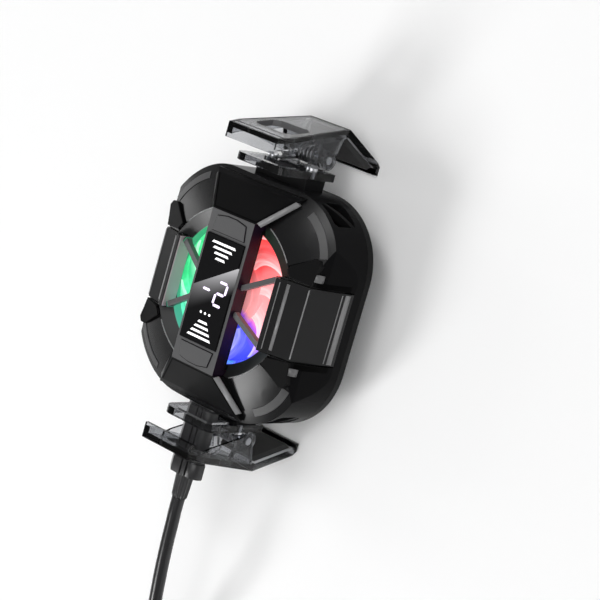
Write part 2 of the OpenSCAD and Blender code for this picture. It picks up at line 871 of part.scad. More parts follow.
// Outline of the lever seen square on, in X and height
module lever_outline(inset) {
    toe = hook_half - inset;
    polygon(both_sides([[front_half - inset, lever_front[1]], [shoulder_half - inset, shoulder_h],
        [ridge_half - inset, lever_ridge[1]], [toe, lip_top], [toe, -hook_drop]]));
}

module lever_side() {
    lip_t = 1.2;
    polygon([lever_front, lever_ridge, [hook_toe, -hook_drop], [hook_lip, -hook_drop], [hook_lip, lip_top],
        lip_meet, lever_inner, [lever_front[0] - lever_t + lip_t * lever_slope, lever_front[1] - lip_t],
        [lip_low, lever_front[1] - lip_t], [lip_low, lever_front[1]]]);
}

module lever() {
    rim_t = 1.3;
    rim_low = [lever_inner[0] - 0.6, lever_ridge[1]];
    web_top = 7.5;
    difference() {
        union() {
            intersection() {
                from_side(2 * hook_half) lever_side();
                translate([0, pin_y, 0]) from_front(lever_span) lever_outline(0);
            }
            intersection() {
                from_side(2 * hook_half)
                    polygon([lever_front, lever_ridge, rim_low, [lip_low + 0.7, lever_front[1]]]);
                translate([0, pin_y, 0]) from_front(lever_span) difference() {
                    lever_outline(0);
                    lever_outline(rim_t);
                }
            }
            for (x = [-1, 1]) translate([x * (ear_x + ear_t / 2), 0, 0]) from_side(ear_t) {
                translate([pin_y, pin_h]) circle(lug_r + 0.1);
                polygon([[pin_y, pin_h - lug_r - 0.1], [lever_inner[0] + 0.4, lever_inner[1] + 0.2],
                    [lever_inner[0] - 0.4, web_top], [pin_y, pin_h + lug_r + 0.1]]);
            }
        }
        translate([0, lever_ridge[0], 0]) from_front(lever_span) pass_outline();
        translate([0, pin_y, pin_h]) rotate([0, 90, 0])
            cylinder(h = clip_w, r = pin_r + run_fit, center = true);
    }
}

// Hole for the plug in the lever, in X and height, with its four corners cut off
module pass_outline() {
    corner_w = 1.6;
    corner_h = 1.4;
    low = plug_h - 4.4;
    top = plug_h + 4.6;
    polygon(both_sides([[pass_half - corner_w, low], [pass_half, low + corner_h],
        [pass_half, top - corner_h], [pass_half - corner_w, top]]));
}

module hinge_pin() {
    pin_l = 2 * ear_half + 0.8;
    translate([0, pin_y, pin_h]) rotate([0, 90, 0]) cylinder(h = pin_l, r = pin_r, center = true);
}

// Rubber pad on the inside of the hook's slanted leg
module grip_pad() {
    first = lever_inner + hook_dir * 1.2;
    last = lever_inner + hook_dir * (norm(lip_meet - lever_inner) - 0.6);
    inner = hook_in * grip_pad_t;
    intersection() {
        from_side(2 * hook_half) polygon([first, last, last + inner, first + inner]);
        translate([0, pin_y, 0]) from_front(lever_span) lever_outline(1);
    }
}

// Torsion spring on the hinge pin, with one leg on the bracket and one on the lever
spring_steps = 8 * spring_curls;
bracket_leg = [[-spring_half, bracket_out + 0.55, 9.5], [-spring_half, bracket_out + 0.6, 7.6],
    [-spring_half, pin_y - spring_r - 0.25, 5.4]];
lever_leg = [[spring_half, pin_y + spring_r + 0.3, 5.2], [spring_half, pin_y + spring_r + 1.5, 7],
    [spring_half, pin_y + spring_r + 2.3, 8.6]];
spring_coil = [for (k = [0 : spring_steps]) let (a = 180 + 360 * k / 8)
    [-spring_half + spring_pitch * k / 8, pin_y + spring_r * cos(a), pin_h + spring_r * sin(a)]];
spring_path = concat(bracket_leg, spring_coil, lever_leg);
echo(spring_gap = tube_gap(spring_path, spring_wire / 2, 6));

module torsion_spring() {
    tube(spring_path, spring_wire / 2, 6, [1, 0, 0.01]);
}

module upper_bracket() {
    color(smoke) at_seat() bracket();
}

module lower_bracket() {
    color(smoke) at_seat() rotate(180) bracket();
}

module upper_lever() {
    color(smoke) at_seat() lever();
}

module lower_lever() {
    color(smoke) at_seat() rotate(180) lever();
}

module upper_pin() {
    color(steel) at_seat() hinge_pin();
}

module lower_pin() {
    color(steel) at_seat() rotate(180) hinge_pin();
}

module upper_spring() {
    color(steel) at_seat() torsion_spring();
}

module lower_spring() {
    color(steel) at_seat() rotate(180) torsion_spring();
}

module upper_grip() {
    color(black) at_seat() grip_pad();
}

module lower_grip() {
    color(black) at_seat() rotate(180) grip_pad();
}

module bracket_screws() {
    color(steel) at_seat() at_bracket_screws() {
        cylinder(h = 0.9, r = 1.4);
        translate([0, 0, -bracket_t - neck_l]) cylinder(h = bracket_t + neck_l + 0.5, r = screw_r);
    }
}

// Plug, cable and its coil

module plug_tip() {
    color(steel) plug_bar(tip_w, tip_t, grip_y - tip_l, tip_l, 0);
}

module plug_grip() {
    color(satin_black) {
        plug_bar(grip_w, grip_t, grip_y, grip_l, 0);
        plug_bar(grip_w + 0.9, grip_t + 0.9, grip_y + grip_l - grip_end_l, grip_end_l, 0);
    }
}

module strain_relief() {
    flutes = 6;
    color(black) translate([0, -grip_y - grip_l, plug_z]) rotate([90, 0, 0]) difference() {
        cylinder(h = relief_l, r = relief_w / 2);
        for (k = [0 : flutes - 1]) rotate(k * 360 / flutes) translate([relief_w / 2 + 0.2, 0, -1])
            cylinder(h = relief_l + 2, r = 0.5);
    }
}

module cable() {
    color(black) tube(cord_route, cord_d / 2, tube_sides, [1, 0, 0]);
}

// Two layers of turns: in from the outside on the table, up, and out again above
coil_centre = [coil_start[0] + coil_out, coil_start[1]];
coil_steps = 24 * (2 * coil_turns + 0.25);
coil_mid_step = coil_steps / 2;
climb = 12;
function coil_radius(k) = coil_out - coil_pitch * min(k, coil_steps - k) / 24;
function coil_z(k) = coil_start[2] + coil_pitch * max(0, min(1, (k - coil_mid_step + climb / 2) / climb));
coil_top_z = coil_start[2] + coil_pitch;
coil_arc = [for (k = [1 : coil_steps]) [coil_centre[0] + coil_radius(k) * cos(180 + 15 * k),
    coil_centre[1] + coil_radius(k) * sin(180 + 15 * k), coil_z(k)]];
coil_end = coil_arc[len(coil_arc) - 1];
// The end leads straight on, then curves in and up to the plug that lies on the coil
lead_steps = 9;
lead_first = 2;
plug_end_z = coil_top_z + cord_d / 2 + plug_clear + usb_a_t / 2;
function lead_turn(k) = 90 * max(0, k - lead_first) / (lead_steps - lead_first);
function lead_rise(k) = (plug_end_z - coil_top_z) * (1 - cos(180 * k / lead_steps)) / 2;
coil_exit = [for (k = [1 : lead_steps]) coil_end + [coil_lead * min(1, k / lead_first)
    + lead_r * sin(lead_turn(k)), lead_r * (1 - cos(lead_turn(k))), lead_rise(k)]];
coil_tail = coil_exit[len(coil_exit) - 1] + [0, cord_d, 0];
coil_head = [coil_start, coil_start + [0, -cord_d, 0]];
coil_path = concat(coil_head, [for (k = [1 : len(coil_arc) - 1]) coil_arc[k]], coil_exit, [coil_tail]);
echo(coil_gap = tube_gap(coil_path, cord_d / 2, 14));
echo(cable_length = path_length(cord_route) + path_length(coil_path));

module cable_coil() {
    color(black) tube(coil_path, cord_d / 2, 6, [0, 0, 1]);
}

module cable_tie() {
    room = 0.3;
    inner_r = coil_mid - coil_spread - cord_d / 2 - room;
    outer_r = coil_out + cord_d / 2 + room;
    top_z = coil_top_z + cord_d / 2 + room;
    color("dimgray") translate([coil_centre[0] - tie_w / 2, coil_centre[1], 0]) difference() {
        translate([0, inner_r - tie_t, 0]) cube([tie_w, outer_r - inner_r + 2 * tie_t, top_z + tie_t]);
        translate([-1, inner_r, tie_t]) cube([tie_w + 2, outer_r - inner_r, top_z - tie_t]);
    }
}

module usb_a_grip() {
    edge_r = 2.4;
    color(satin_black) translate(coil_tail) rotate([90, 0, 180])
        linear_extrude(usb_a_l) rounded(usb_a_w, usb_a_t, edge_r);
}

module usb_a_shell() {
    shell_t = 0.4;
    color(steel) translate(coil_tail + [0, usb_a_l, 0]) rotate([90, 0, 180]) difference() {
        linear_extrude(usb_a_shell_l) square([usb_a_shell_w, usb_a_shell_t], center = true);
        translate([-usb_a_shell_w / 2 + shell_t, 0, 1])
            cube([usb_a_shell_w - 2 * shell_t, usb_a_shell_t / 2 - shell_t, usb_a_shell_l]);
    }
}

rear_case();
front_cover();
upper_end_panel();
lower_end_panel();
left_wing();
right_wing();
spine();
display_lens();
display_tray();
display_board();
digit_block();
fan_guard();
fan_frame();
bearing_sleeve();
stator();
rotor();
rotor_magnet();
rotor_shaft();
led_board();
leds();
heat_sink();
tec_module();
foam_gasket();
cold_plate();
thermal_pad();
power_board();
usb_socket();
case_screws();
upper_bracket();
upper_lever();
upper_pin();
upper_spring();
upper_grip();
lower_bracket();
lower_lever();
lower_pin();
lower_spring();
lower_grip();
bracket_screws();
plug_tip();
plug_grip();
strain_relief();
cable();
cable_coil();
cable_tie();
usb_a_grip();
usb_a_shell();
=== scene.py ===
"""Looks of a clip-on phone cooler: finishes, lit fan, display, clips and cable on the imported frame."""
from math import cos, hypot, pi, radians, sin, sqrt

import bmesh
import bpy
from mathutils import Matrix, Vector


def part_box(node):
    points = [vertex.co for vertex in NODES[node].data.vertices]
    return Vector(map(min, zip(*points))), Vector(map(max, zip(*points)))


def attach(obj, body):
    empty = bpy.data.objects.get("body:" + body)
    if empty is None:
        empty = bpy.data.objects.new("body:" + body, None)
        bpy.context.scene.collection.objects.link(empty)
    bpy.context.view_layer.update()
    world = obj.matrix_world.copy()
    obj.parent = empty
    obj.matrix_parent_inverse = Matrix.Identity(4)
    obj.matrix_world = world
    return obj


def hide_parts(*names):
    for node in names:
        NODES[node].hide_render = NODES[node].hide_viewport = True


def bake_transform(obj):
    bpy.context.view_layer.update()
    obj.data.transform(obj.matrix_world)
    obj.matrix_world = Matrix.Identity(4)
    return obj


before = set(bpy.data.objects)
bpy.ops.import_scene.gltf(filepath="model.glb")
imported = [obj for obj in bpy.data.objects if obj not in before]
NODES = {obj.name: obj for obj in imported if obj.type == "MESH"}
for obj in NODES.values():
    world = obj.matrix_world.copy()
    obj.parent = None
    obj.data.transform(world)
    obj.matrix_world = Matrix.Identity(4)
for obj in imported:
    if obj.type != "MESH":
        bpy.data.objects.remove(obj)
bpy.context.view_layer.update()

# Sizes and places are in millimetres. Heights are over the seat face unless a name ends in Z.
MM = 0.001
SEAT = 11.2
FOUR_WAYS = [(1, 1), (1, -1), (-1, 1), (-1, -1)]

# Camera: place, direction and up of the photograph's view of the part, in metres
CAMERA_AT = Vector((0.2996, 0.0899, 0.3985))
CAMERA_LOOK = Vector((-0.5915, -0.1797, -0.7860))
CAMERA_UP = Vector((-0.3255, 0.9451, 0.0289))
FRAME_PX = 600
FOCAL_PX = 2005.45
SENSOR_MM = 36.0


def make_camera():
    data = bpy.data.cameras.new("camera")
    data.sensor_width = SENSOR_MM
    data.lens = FOCAL_PX * SENSOR_MM / FRAME_PX
    data.clip_start = 0.01
    data.clip_end = 20
    camera = bpy.data.objects.new("camera", data)
    back = -CAMERA_LOOK.normalized()
    right = CAMERA_UP.cross(back).normalized()
    up = back.cross(right)
    turn = Matrix((right, up, back)).transposed().to_4x4()
    camera.matrix_world = Matrix.Translation(CAMERA_AT) @ turn
    bpy.context.scene.collection.objects.link(camera)
    bpy.context.scene.camera = camera


# Shader helpers


def shader(name):
    mat = bpy.data.materials.new(name)
    mat.use_nodes = True
    return mat, mat.node_tree


def plug(tree, socket, value):
    """Links a socket to a node's output, or sets its value."""
    if isinstance(value, bpy.types.NodeSocket):
        tree.links.new(value, socket)
    else:
        socket.default_value = value


def dress(tree, sockets):
    """Links or sets sockets of a material's main shader."""
    for key, value in sockets.items():
        plug(tree, tree.nodes["Principled BSDF"].inputs[key], value)


def add(tree, kind, inputs=None, out=0, **settings):
    """An output of a new node, with its settings made and its inputs linked or set."""
    made = tree.nodes.new("ShaderNode" + kind)
    for key, value in settings.items():
        setattr(made, key, value)
    for key, value in (inputs or {}).items():
        plug(tree, made.inputs[key], value)
    return made.outputs[out]


def calc(tree, operation, a, b=0.0, c=0.0):
    return add(tree, "Math", {0: a, 1: b, 2: c}, operation=operation)


def span(tree, value, low, high, to_low=0.0, to_high=1.0):
    """A value between two limits, mapped to two others."""
    names = {"Value": value, "From Min": low, "From Max": high, "To Min": to_low, "To Max": to_high}
    return add(tree, "MapRange", names)


def blend_colour(tree, share, first, second):
    ends = {"Factor": share, "A": first, "B": second}
    return add(tree, "Mix", ends, "Result", data_type="RGBA")


def rgba(colour, times=1.0):
    return (*[min(1.0, c * times) for c in colour], 1.0)


def own_space(tree):
    return add(tree, "TexCoord", out="Object")


def noise(tree, where, scale, detail=3.0):
    return add(tree, "TexNoise", {"Vector": where, "Scale": scale, "Detail": detail}, "Fac")


def spread(tree, grain, low, high):
    """The range that most of a noise lies in, mapped to two values."""
    return span(tree, grain, 0.3, 0.7, low, high)


def surface_normal(tree):
    return add(tree, "NewGeometry", out="Normal")


def axes_of(tree, vector):
    """A vector's X, Y and Z."""
    return add(tree, "SeparateXYZ", {0: vector}).node.outputs


def facing_up(tree):
    """How far a surface faces up: 1 on top and 0 on an upright wall."""
    return axes_of(tree, surface_normal(tree))[2]


def axis_reach(tree):
    """Distance from the fan axis."""
    x, y, z = axes_of(tree, own_space(tree))
    flat_place = add(tree, "CombineXYZ", {0: x, 1: y})
    return add(tree, "VectorMath", {0: flat_place}, "Value", operation="LENGTH")


def tint_where(tree, share, colour):
    """Blends a finish's colour towards another one by a share."""
    face = tree.nodes["Principled BSDF"].inputs["Base Color"].links[0].from_socket
    dress(tree, {"Base Color": blend_colour(tree, share, face, colour)})


# Finishes

GLOSS = "Specular IOR Level"
METAL = {"Metallic": 1.0}
DULL = {GLOSS: 0.18}
FLAT = {GLOSS: 0.09}
NO_GLOSS = {GLOSS: 0.03}
WHITE = (1, 1, 1, 1)


def moulded(name, colour, rough, bump=0.10, tone=0.10, wear=0.35, sockets=None):
    """Moulded plastic or metal: fine grain, slight colour and gloss change, and edges rounded and paler."""
    edge_r, edge_start, edge_full, rough_tone = 0.16 * MM, 0.995, 0.86, 0.02
    tone_scale, smear_scale, pit_scale, pit_deep = 60.0, 130.0, 3000.0, 0.03 * MM
    worn = [c * 1.9 + 0.02 for c in colour]
    mat, tree = shader(name)
    where = own_space(tree)
    round_edge = add(tree, "Bevel", {"Radius": edge_r}, samples=6)
    faces = {0: round_edge, 1: surface_normal(tree)}
    meet = add(tree, "VectorMath", faces, "Value", operation="DOT_PRODUCT")
    edge = span(tree, meet, edge_start, edge_full, 0.0, wear)
    body = blend_colour(tree, noise(tree, where, tone_scale), rgba(colour, 1 - tone), rgba(colour, 1 + tone))
    smear = noise(tree, where, smear_scale)
    pits = noise(tree, where, pit_scale, 4.0)
    grain = {"Strength": bump, "Distance": pit_deep, "Height": pits, "Normal": round_edge}
    dress(tree, {"Base Color": blend_colour(tree, edge, body, rgba(worn)),
                 "Roughness": spread(tree, smear, rough - rough_tone, rough + rough_tone),
                 "Normal": add(tree, "Bump", grain)})
    dress(tree, sockets or {})
    return mat


def smoky_clear():
    """Smoked clear plastic: grey where thin, near black along the thick edges."""
    darker, paler, fog_colour = (0.69, 0.70, 0.72, 1), (0.80, 0.81, 0.83, 1), (0.30, 0.30, 0.31, 1)
    flow_scale, smear_scale, flow_deep = 160.0, 420.0, 0.1 * MM
    mat, tree = shader("smoky_clear")
    where = own_space(tree)
    flow = noise(tree, where, flow_scale)
    waves = add(tree, "Bump", {"Strength": 0.08, "Distance": flow_deep, "Height": flow})
    dress(tree, {"Base Color": blend_colour(tree, flow, darker, paler),
                 "Roughness": spread(tree, noise(tree, where, smear_scale), 0.015, 0.05),
                 "Normal": waves, "Transmission Weight": 1.0, "IOR": 1.30,
                 GLOSS: 0.25})
    fog = add(tree, "VolumeAbsorption", {"Color": fog_colour, "Density": 330.0})
    tree.links.new(fog, tree.nodes["Material Output"].inputs["Volume"])
    return mat


GREEN = (0.07, 0.64, 0.29, 1)
TEAL = (0.12, 0.74, 0.52, 1)
BLUE = (0.07, 0.09, 0.95, 1)
VIOLET = (0.36, 0.10, 0.85, 1)
RED = (0.95, 0.11, 0.12, 1)
PINK = (1.0, 0.38, 0.39, 1)


def fan_light(tree):
    """Colour of the light ring, by the angle round the fan axis."""
    x, y, z = axes_of(tree, add(tree, "NewGeometry", out="Position"))
    angle = calc(tree, "ARCTAN2", y, x)
    ramp = add(tree, "ValToRGB", {0: span(tree, angle, -pi, pi)})
    stops = [(0.0, GREEN), (0.12, TEAL), (0.24, TEAL), (0.27, BLUE), (0.36, BLUE), (0.395, VIOLET),
             (0.43, PINK), (0.54, PINK), (0.66, RED), (0.74, RED), (0.77, GREEN), (0.9, GREEN)]
    elements = ramp.node.color_ramp.elements
    while len(elements) < len(stops):
        elements.new(0.5)
    for element, (at, colour) in zip(elements, stops):
        element.position = at
        element.color = colour
    return ramp


# Paints the light ring's glow as emission onto a surface that is no lamp: painted light.
def painted_ring_glow(tree, strength):
    dress(tree, {"Emission Color": fan_light(tree), "Emission Strength": strength})


def frame_painted_glow():
    """Milky plastic with a painted glow in the light ring's colour, and painted pale streaks."""
    streak_scale, strength, veil = 320.0, 0.9, 0.1
    mat, tree = shader("frame_painted_glow")
    light = fan_light(tree)
    streak = noise(tree, own_space(tree), streak_scale, 2.0)
    # Painted glow on the frame, which is no lamp, paling towards white in the streaks.
    tint = blend_colour(tree, span(tree, streak, 0.45, 0.75, 0.0, veil), light, WHITE)
    dress(tree, {"Base Color": tint, "Emission Color": tint,
                 "Emission Strength": spread(tree, streak, 0.5 * strength, strength),
                 "Roughness": 0.18, "Coat Weight": 0.4})
    return mat


def blades_painted_glow():
    """Milky blades with a painted glow in the light ring's colour, a painted highlight towards each one's
    high edge, and painted pale streaks along its sweep.
    """
    streaks_across, streaks_along, edge_power = 9.0, 1.2, 1.5
    mat, tree = shader("blades_painted_glow")
    light = fan_light(tree)
    across = add(tree, "Attribute", out="Fac", attribute_name="across")
    along = add(tree, "Attribute", out="Fac", attribute_name="along")
    x = calc(tree, "MULTIPLY", across, streaks_across)
    y = calc(tree, "MULTIPLY", along, streaks_along)
    streak = noise(tree, add(tree, "CombineXYZ", {0: x, 1: y}), 1.0)
    edge = calc(tree, "POWER", calc(tree, "SUBTRACT", 1.0, across), edge_power)
    share = calc(tree, "MULTIPLY", edge, spread(tree, streak, 0.5, 1.0))
    # Painted highlight: the glow turns pale towards each blade's high edge and along the streaks.
    pale = blend_colour(tree, span(tree, share, 0.3, 1.0, 0.0, 0.75), light, WHITE)
    dress(tree, {"Base Color": light, "Emission Color": pale,
                 "Emission Strength": span(tree, share, 0.0, 0.8, 0.36, 1.05),
                 "Roughness": 0.16, "Coat Weight": 0.4})
    return mat


def lens_glass():
    """Black display window with a painted reflection: a pale wedge that fades down from a slanted line,
    brighter to the right.
    """
    slope, start, fall, fade_power = 0.637, 3.8 * MM, 6.8 * MM, 1.6
    half_w, left_reflection, right_reflection = 6 * MM, 0.16, 0.62
    darker, paler, speck_scale = (0.002, 0.002, 0.0025, 1), (0.004, 0.004, 0.0045, 1), 900.0
    mat, tree = shader("lens_glass")
    where = own_space(tree)
    x, y, z = axes_of(tree, where)
    # Painted reflection: an emitting wedge below a slanted line across the lens.
    line = calc(tree, "MULTIPLY_ADD", x, slope, start)
    below = calc(tree, "SUBTRACT", line, y)
    fade = calc(tree, "POWER", span(tree, below, 0.0, fall, 1.0, 0.0), fade_power)
    wedge = calc(tree, "MULTIPLY", fade, calc(tree, "GREATER_THAN", below, 0.0))
    side = span(tree, x, -half_w, half_w, left_reflection, right_reflection)
    dress(tree, {"Base Color": blend_colour(tree, noise(tree, where, speck_scale), darker, paler),
                 "Emission Color": (0.93, 0.92, 0.95, 1),
                 "Emission Strength": calc(tree, "MULTIPLY", wedge, side),
                 "Roughness": 0.10, GLOSS: 0.3})
    return mat


def lit_mark(name, colour, strength):
    """A plain lit colour with a fine grain."""
    grain_scale = 2500.0
    mat, tree = shader(name)
    grain = noise(tree, own_space(tree), grain_scale)
    dress(tree, {"Base Color": blend_colour(tree, grain, rgba(colour, 0.9), rgba(colour)),
                 "Emission Color": blend_colour(tree, grain, rgba(colour, 0.94), rgba(colour)),
                 "Emission Strength": strength, "Roughness": 0.5})
    return mat


def sink_metal_painted_glow():
    """Aluminium with a painted glow in the light ring's colour below the fan."""
    glow_full, glow_end, strength = 17.6 * MM, 18.0 * MM, 0.6
    mat = moulded("sink_metal_painted_glow", (0.72, 0.73, 0.75), 0.34, tone=0.05, sockets=METAL)
    tree = mat.node_tree
    # Painted glow: the fan's light painted onto the metal as emission.
    painted_ring_glow(tree, span(tree, axis_reach(tree), glow_end, glow_full, 0.0, strength))
    return mat


def guard_grey():
    """Satin grey spokes, a black funnel ring round them, and a collar below it with a painted glow."""
    spoke_end, ring_start, ring_black = 17.1 * MM, 17.3 * MM, (0.010, 0.010, 0.0105, 1)
    glow_start, glow_full, glow_end, strength = 17.25 * MM, 17.4 * MM, 17.45 * MM, 0.55
    mat = moulded("guard_grey", (0.085, 0.085, 0.087), 0.38)
    tree = mat.node_tree
    reach = axis_reach(tree)
    tint_where(tree, span(tree, reach, spoke_end, ring_start), ring_black)
    # Painted glow on the collar below the funnel ring.
    outside = calc(tree, "GREATER_THAN", reach, glow_start)
    inside = span(tree, reach, glow_end, glow_full, 0.0, strength)
    painted_ring_glow(tree, calc(tree, "MULTIPLY", outside, inside))
    return mat


def cover_black():
    """Black cover, glossy on the dome and nearly dull on the chamfers and walls."""
    wall_up, dome_up, wall_gloss, dome_gloss = 0.80, 0.93, 0.02, 0.26
    one_gloss = {GLOSS: 0.2}
    mat = moulded("gloss_black", (0.006, 0.006, 0.0064), 0.23, bump=0.04, sockets=one_gloss)
    tree = mat.node_tree
    dress(tree, {GLOSS: span(tree, facing_up(tree), wall_up, dome_up, wall_gloss, dome_gloss)})
    return mat


def wing_black():
    """Satin black wings whose upright walls towards the fan are painted pale, as painted light from the fan.
    """
    wall_in, wall_out, wall_painted_light = 15.85 * MM, 15.95 * MM, (0.56, 0.46, 0.50, 1)
    mat = moulded("wing_black", (0.012, 0.012, 0.0125), 0.30, sockets=DULL)
    tree = mat.node_tree
    reach = calc(tree, "ABSOLUTE", axes_of(tree, own_space(tree))[0])
    # Painted light: the walls facing the fan are tinted pale.
    tint_where(tree, span(tree, reach, wall_out, wall_in), wall_painted_light)
    return mat


def bar_grey():
    """Satin grey bar whose upright sides are painted near black with a violet cast: painted shade, tinted by
    painted light from the fan.
    """
    top_up, side_up, side_painted_shade = 0.7, 0.3, (0.010, 0.004, 0.013, 1)
    mat = moulded("bar_grey", (0.094, 0.094, 0.096), 0.42, bump=0.2, sockets=DULL)
    tree = mat.node_tree
    # Painted shade on the bar's upright sides, with a violet cast of painted fan light.
    tint_where(tree, span(tree, facing_up(tree), top_up, side_up), side_painted_shade)
    return mat


DEEP_BLACK = moulded("deep_black", (0.004, 0.004, 0.0042), 0.36, sockets=DULL)
# Near black for the end panels' dark lines, and for the painted groove shadow beside the wings' ends.
LINE_AND_PAINTED_SHADOW_BLACK = moulded("line_and_painted_shadow_black", (0.0012, 0.0012, 0.0013), 0.6, wear=0.0, sockets=NO_GLOSS)
SATIN_BLACK = moulded("satin_black", (0.004, 0.004, 0.0043), 0.40, bump=0.15, sockets=FLAT)
CAP_BLACK = moulded("cap_black", (0.003, 0.003, 0.0032), 0.45, wear=0.2, sockets=FLAT)
SMOKE_EDGE = moulded("smoke_edge", (0.10, 0.10, 0.103), 0.30)
# Pale grey of the right-hand panel strips: a painted highlight.
PAINTED_LIT_STRIP_GREY = moulded("painted_lit_strip_grey", (0.21, 0.21, 0.214), 0.36)
# Dark grey a little paler than the dome: a painted sheen on the corner chamfers.
PAINTED_SHEEN_GREY = moulded("painted_sheen_grey", (0.030, 0.030, 0.031), 0.38)
BLOCK_GREY = moulded("block_grey", (0.12, 0.12, 0.122), 0.34)
# Pale grey of thin beads and strips that stand as painted highlight lines.
PAINTED_GLINT_GREY = moulded("painted_glint_grey", (0.20, 0.20, 0.203), 0.30)
SMOKE = smoky_clear()
# The LEDs glow as lamps. On the rotor's blades the same glow is painted light.
LEDS_AND_PAINTED_BLADE_GLOW = blades_painted_glow()
DIGIT = lit_mark("digit_glow", (0.86, 0.74, 1.0), 0.95)
PRINT = lit_mark("print_white", (0.92, 0.92, 0.92), 0.75)
STEEL = moulded("steel", (0.55, 0.56, 0.58), 0.28, tone=0.06, sockets=METAL)
SPRING_STEEL = moulded("spring_steel", (0.30, 0.30, 0.31), 0.30, tone=0.06, sockets=METAL)
ALUMINIUM = moulded("aluminium", (0.72, 0.73, 0.75), 0.34, tone=0.05, sockets=METAL)
BRASS = moulded("brass", (0.75, 0.55, 0.24), 0.3, tone=0.06, sockets=METAL)
COPPER = moulded("copper", (0.72, 0.36, 0.18), 0.32, sockets=METAL)
IRON = moulded("iron", (0.12, 0.12, 0.125), 0.5, sockets={"Metallic": 0.6})
BOARD = moulded("board", (0.02, 0.12, 0.05), 0.35)
CERAMIC = moulded("ceramic", (0.78, 0.78, 0.77), 0.5, tone=0.05)
FOAM = moulded("foam", (0.05, 0.05, 0.05), 0.9, bump=0.8)
SILICONE = moulded("silicone", (0.42, 0.43, 0.45), 0.6, tone=0.08, bump=0.3)
RUBBER = moulded("rubber", (0.011, 0.011, 0.011), 0.6, bump=0.4)
PLUG = moulded("plug_plastic", (0.019, 0.019, 0.020), 0.34, bump=0.2)
SHEATH = moulded("cable_sheath", (0.011, 0.011, 0.012), 0.28, wear=0.0)

FINISHED_NODES = [
    (CAP_BLACK, "rear_case"), (cover_black(), "front_cover"), (bar_grey(), "spine"),
    (SATIN_BLACK, "upper_end_panel lower_end_panel cable_tie"), (wing_black(), "left_wing right_wing"),
    (lens_glass(), "display_lens"), (DEEP_BLACK, "display_tray"), (BOARD, "display_board power_board"),
    (CERAMIC, "digit_block led_board tec_module"), (guard_grey(), "fan_guard"), (frame_painted_glow(), "fan_frame"),
    (BRASS, "bearing_sleeve"), (COPPER, "stator"), (LEDS_AND_PAINTED_BLADE_GLOW, "rotor leds"), (IRON, "rotor_magnet"),
    (sink_metal_painted_glow(), "heat_sink"), (FOAM, "foam_gasket"), (ALUMINIUM, "cold_plate"), (SILICONE, "thermal_pad"),
    (STEEL, "rotor_shaft usb_socket case_screws bracket_screws plug_tip usb_a_shell"),
    (STEEL, "upper_pin lower_pin upper_spring lower_spring"), (RUBBER, "upper_grip lower_grip"),
    (SMOKE, "upper_bracket lower_bracket upper_lever lower_lever"),
    (PLUG, "plug_grip strain_relief usb_a_grip"), (SHEATH, "cable cable_coil"),
]


def dress_nodes():
    for finish, names in FINISHED_NODES:
        for name in names.split():
            materials = NODES[name].data.materials
            materials.clear()
            materials.append(finish)


# Piece helpers


def piece(name, bm, finish, body="body", replaced=(), smooth=True, crease=35.0):
    """A piece from a bmesh, on a body and in place of CAD nodes. If smooth, its creases stay sharp."""
    bmesh.ops.remove_doubles(bm, verts=bm.verts, dist=1e-7)
    bmesh.ops.recalc_face_normals(bm, faces=bm.faces)
    for edge in bm.edges:
        edge.smooth = edge.calc_face_angle(0.0) < radians(crease)
    mesh = bpy.data.meshes.new(name)
    bm.to_mesh(mesh)
    bm.free()
    for polygon in mesh.polygons:
        polygon.use_smooth = smooth
    mesh.materials.append(finish)
    obj = bpy.data.objects.new(name, mesh)
    bpy.context.scene.collection.objects.link(obj)
    if body:
        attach(obj, body)
    if replaced:
        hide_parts(*replaced)
    return obj


def at_seat(x, y, h):
    """A point in the part's frame, from its height over the seat face."""
    return Vector((x, y, h + SEAT))


def turned(points, way):
    """The points, turned half a turn about the fan axis where way is -1."""
    return [Vector((way * p.x, way * p.y, p.z)) for p in points]


def mirrored(half):
    """An outline from its right half."""
    return half + [(-x, y) for x, y in reversed(half)]


def neighbours(items):
    """Each item with the next one, and the last with the first."""
    return list(zip(items, items[1:] + items[:1]))


def polar(r, a):
    return r * cos(a), r * sin(a)


def arc(r, first, last, steps):
    """Points of an arc between two angles in degrees."""
    a, b = radians(first), radians(last)
    return [polar(r, a + (b - a) * k / steps) for k in range(steps + 1)]


def circle_angles(count):
    return [2 * pi * k / count for k in range(count)]


def circle(r, sides):
    return [polar(r, a) for a in circle_angles(sides)]


def rectangle(xa, xb, ya, yb):
    return [(xa, ya), (xb, ya), (xb, yb), (xa, yb)]


def loft(bm, rings, hoop=False):
    """A solid through rings of points, with its two ends capped or, as a hoop, joined to each other."""
    made = [[bm.verts.new(p * MM) for p in ring] for ring in rings]
    for a, b in neighbours(made) if hoop else zip(made, made[1:]):
        for (p, q), (r, s) in zip(neighbours(a), neighbours(b)):
            bm.faces.new((p, q, s, r))
    if not hoop:
        bm.faces.new(list(reversed(made[0])))
        bm.faces.new(made[-1])


def prism(bm, outline, low, high):
    """A flat-ended solid from an outline of (x, y) points, between two heights."""
    loft(bm, [[at_seat(x, y, h) for x, y in outline] for h in (low, high)])


def plate(bm, corners, out, sink=0.1):
    """A plate on a flat polygon, standing out along its normal and sinking in a little."""
    middle = sum(corners, Vector()) / len(corners)
    normal = Vector()
    for a, b in neighbours(corners):
        normal += (a - middle).cross(b - middle)
    normal.normalize()
    loft(bm, [[p + normal * lift for p in corners] for lift in (-sink, out)])


def surface_bar(bm, ends, normal, width, up):
    """A thin flat bar on a surface, from one end point to the other."""
    sink = 0.08
    a, b = ends
    side = normal.cross((b - a).normalized()).normalized() * width / 2
    low, high = normal * -sink, normal * up
    loft(bm, [[p + side + low, p - side + low, p - side + high, p + side + high] for p in ends])


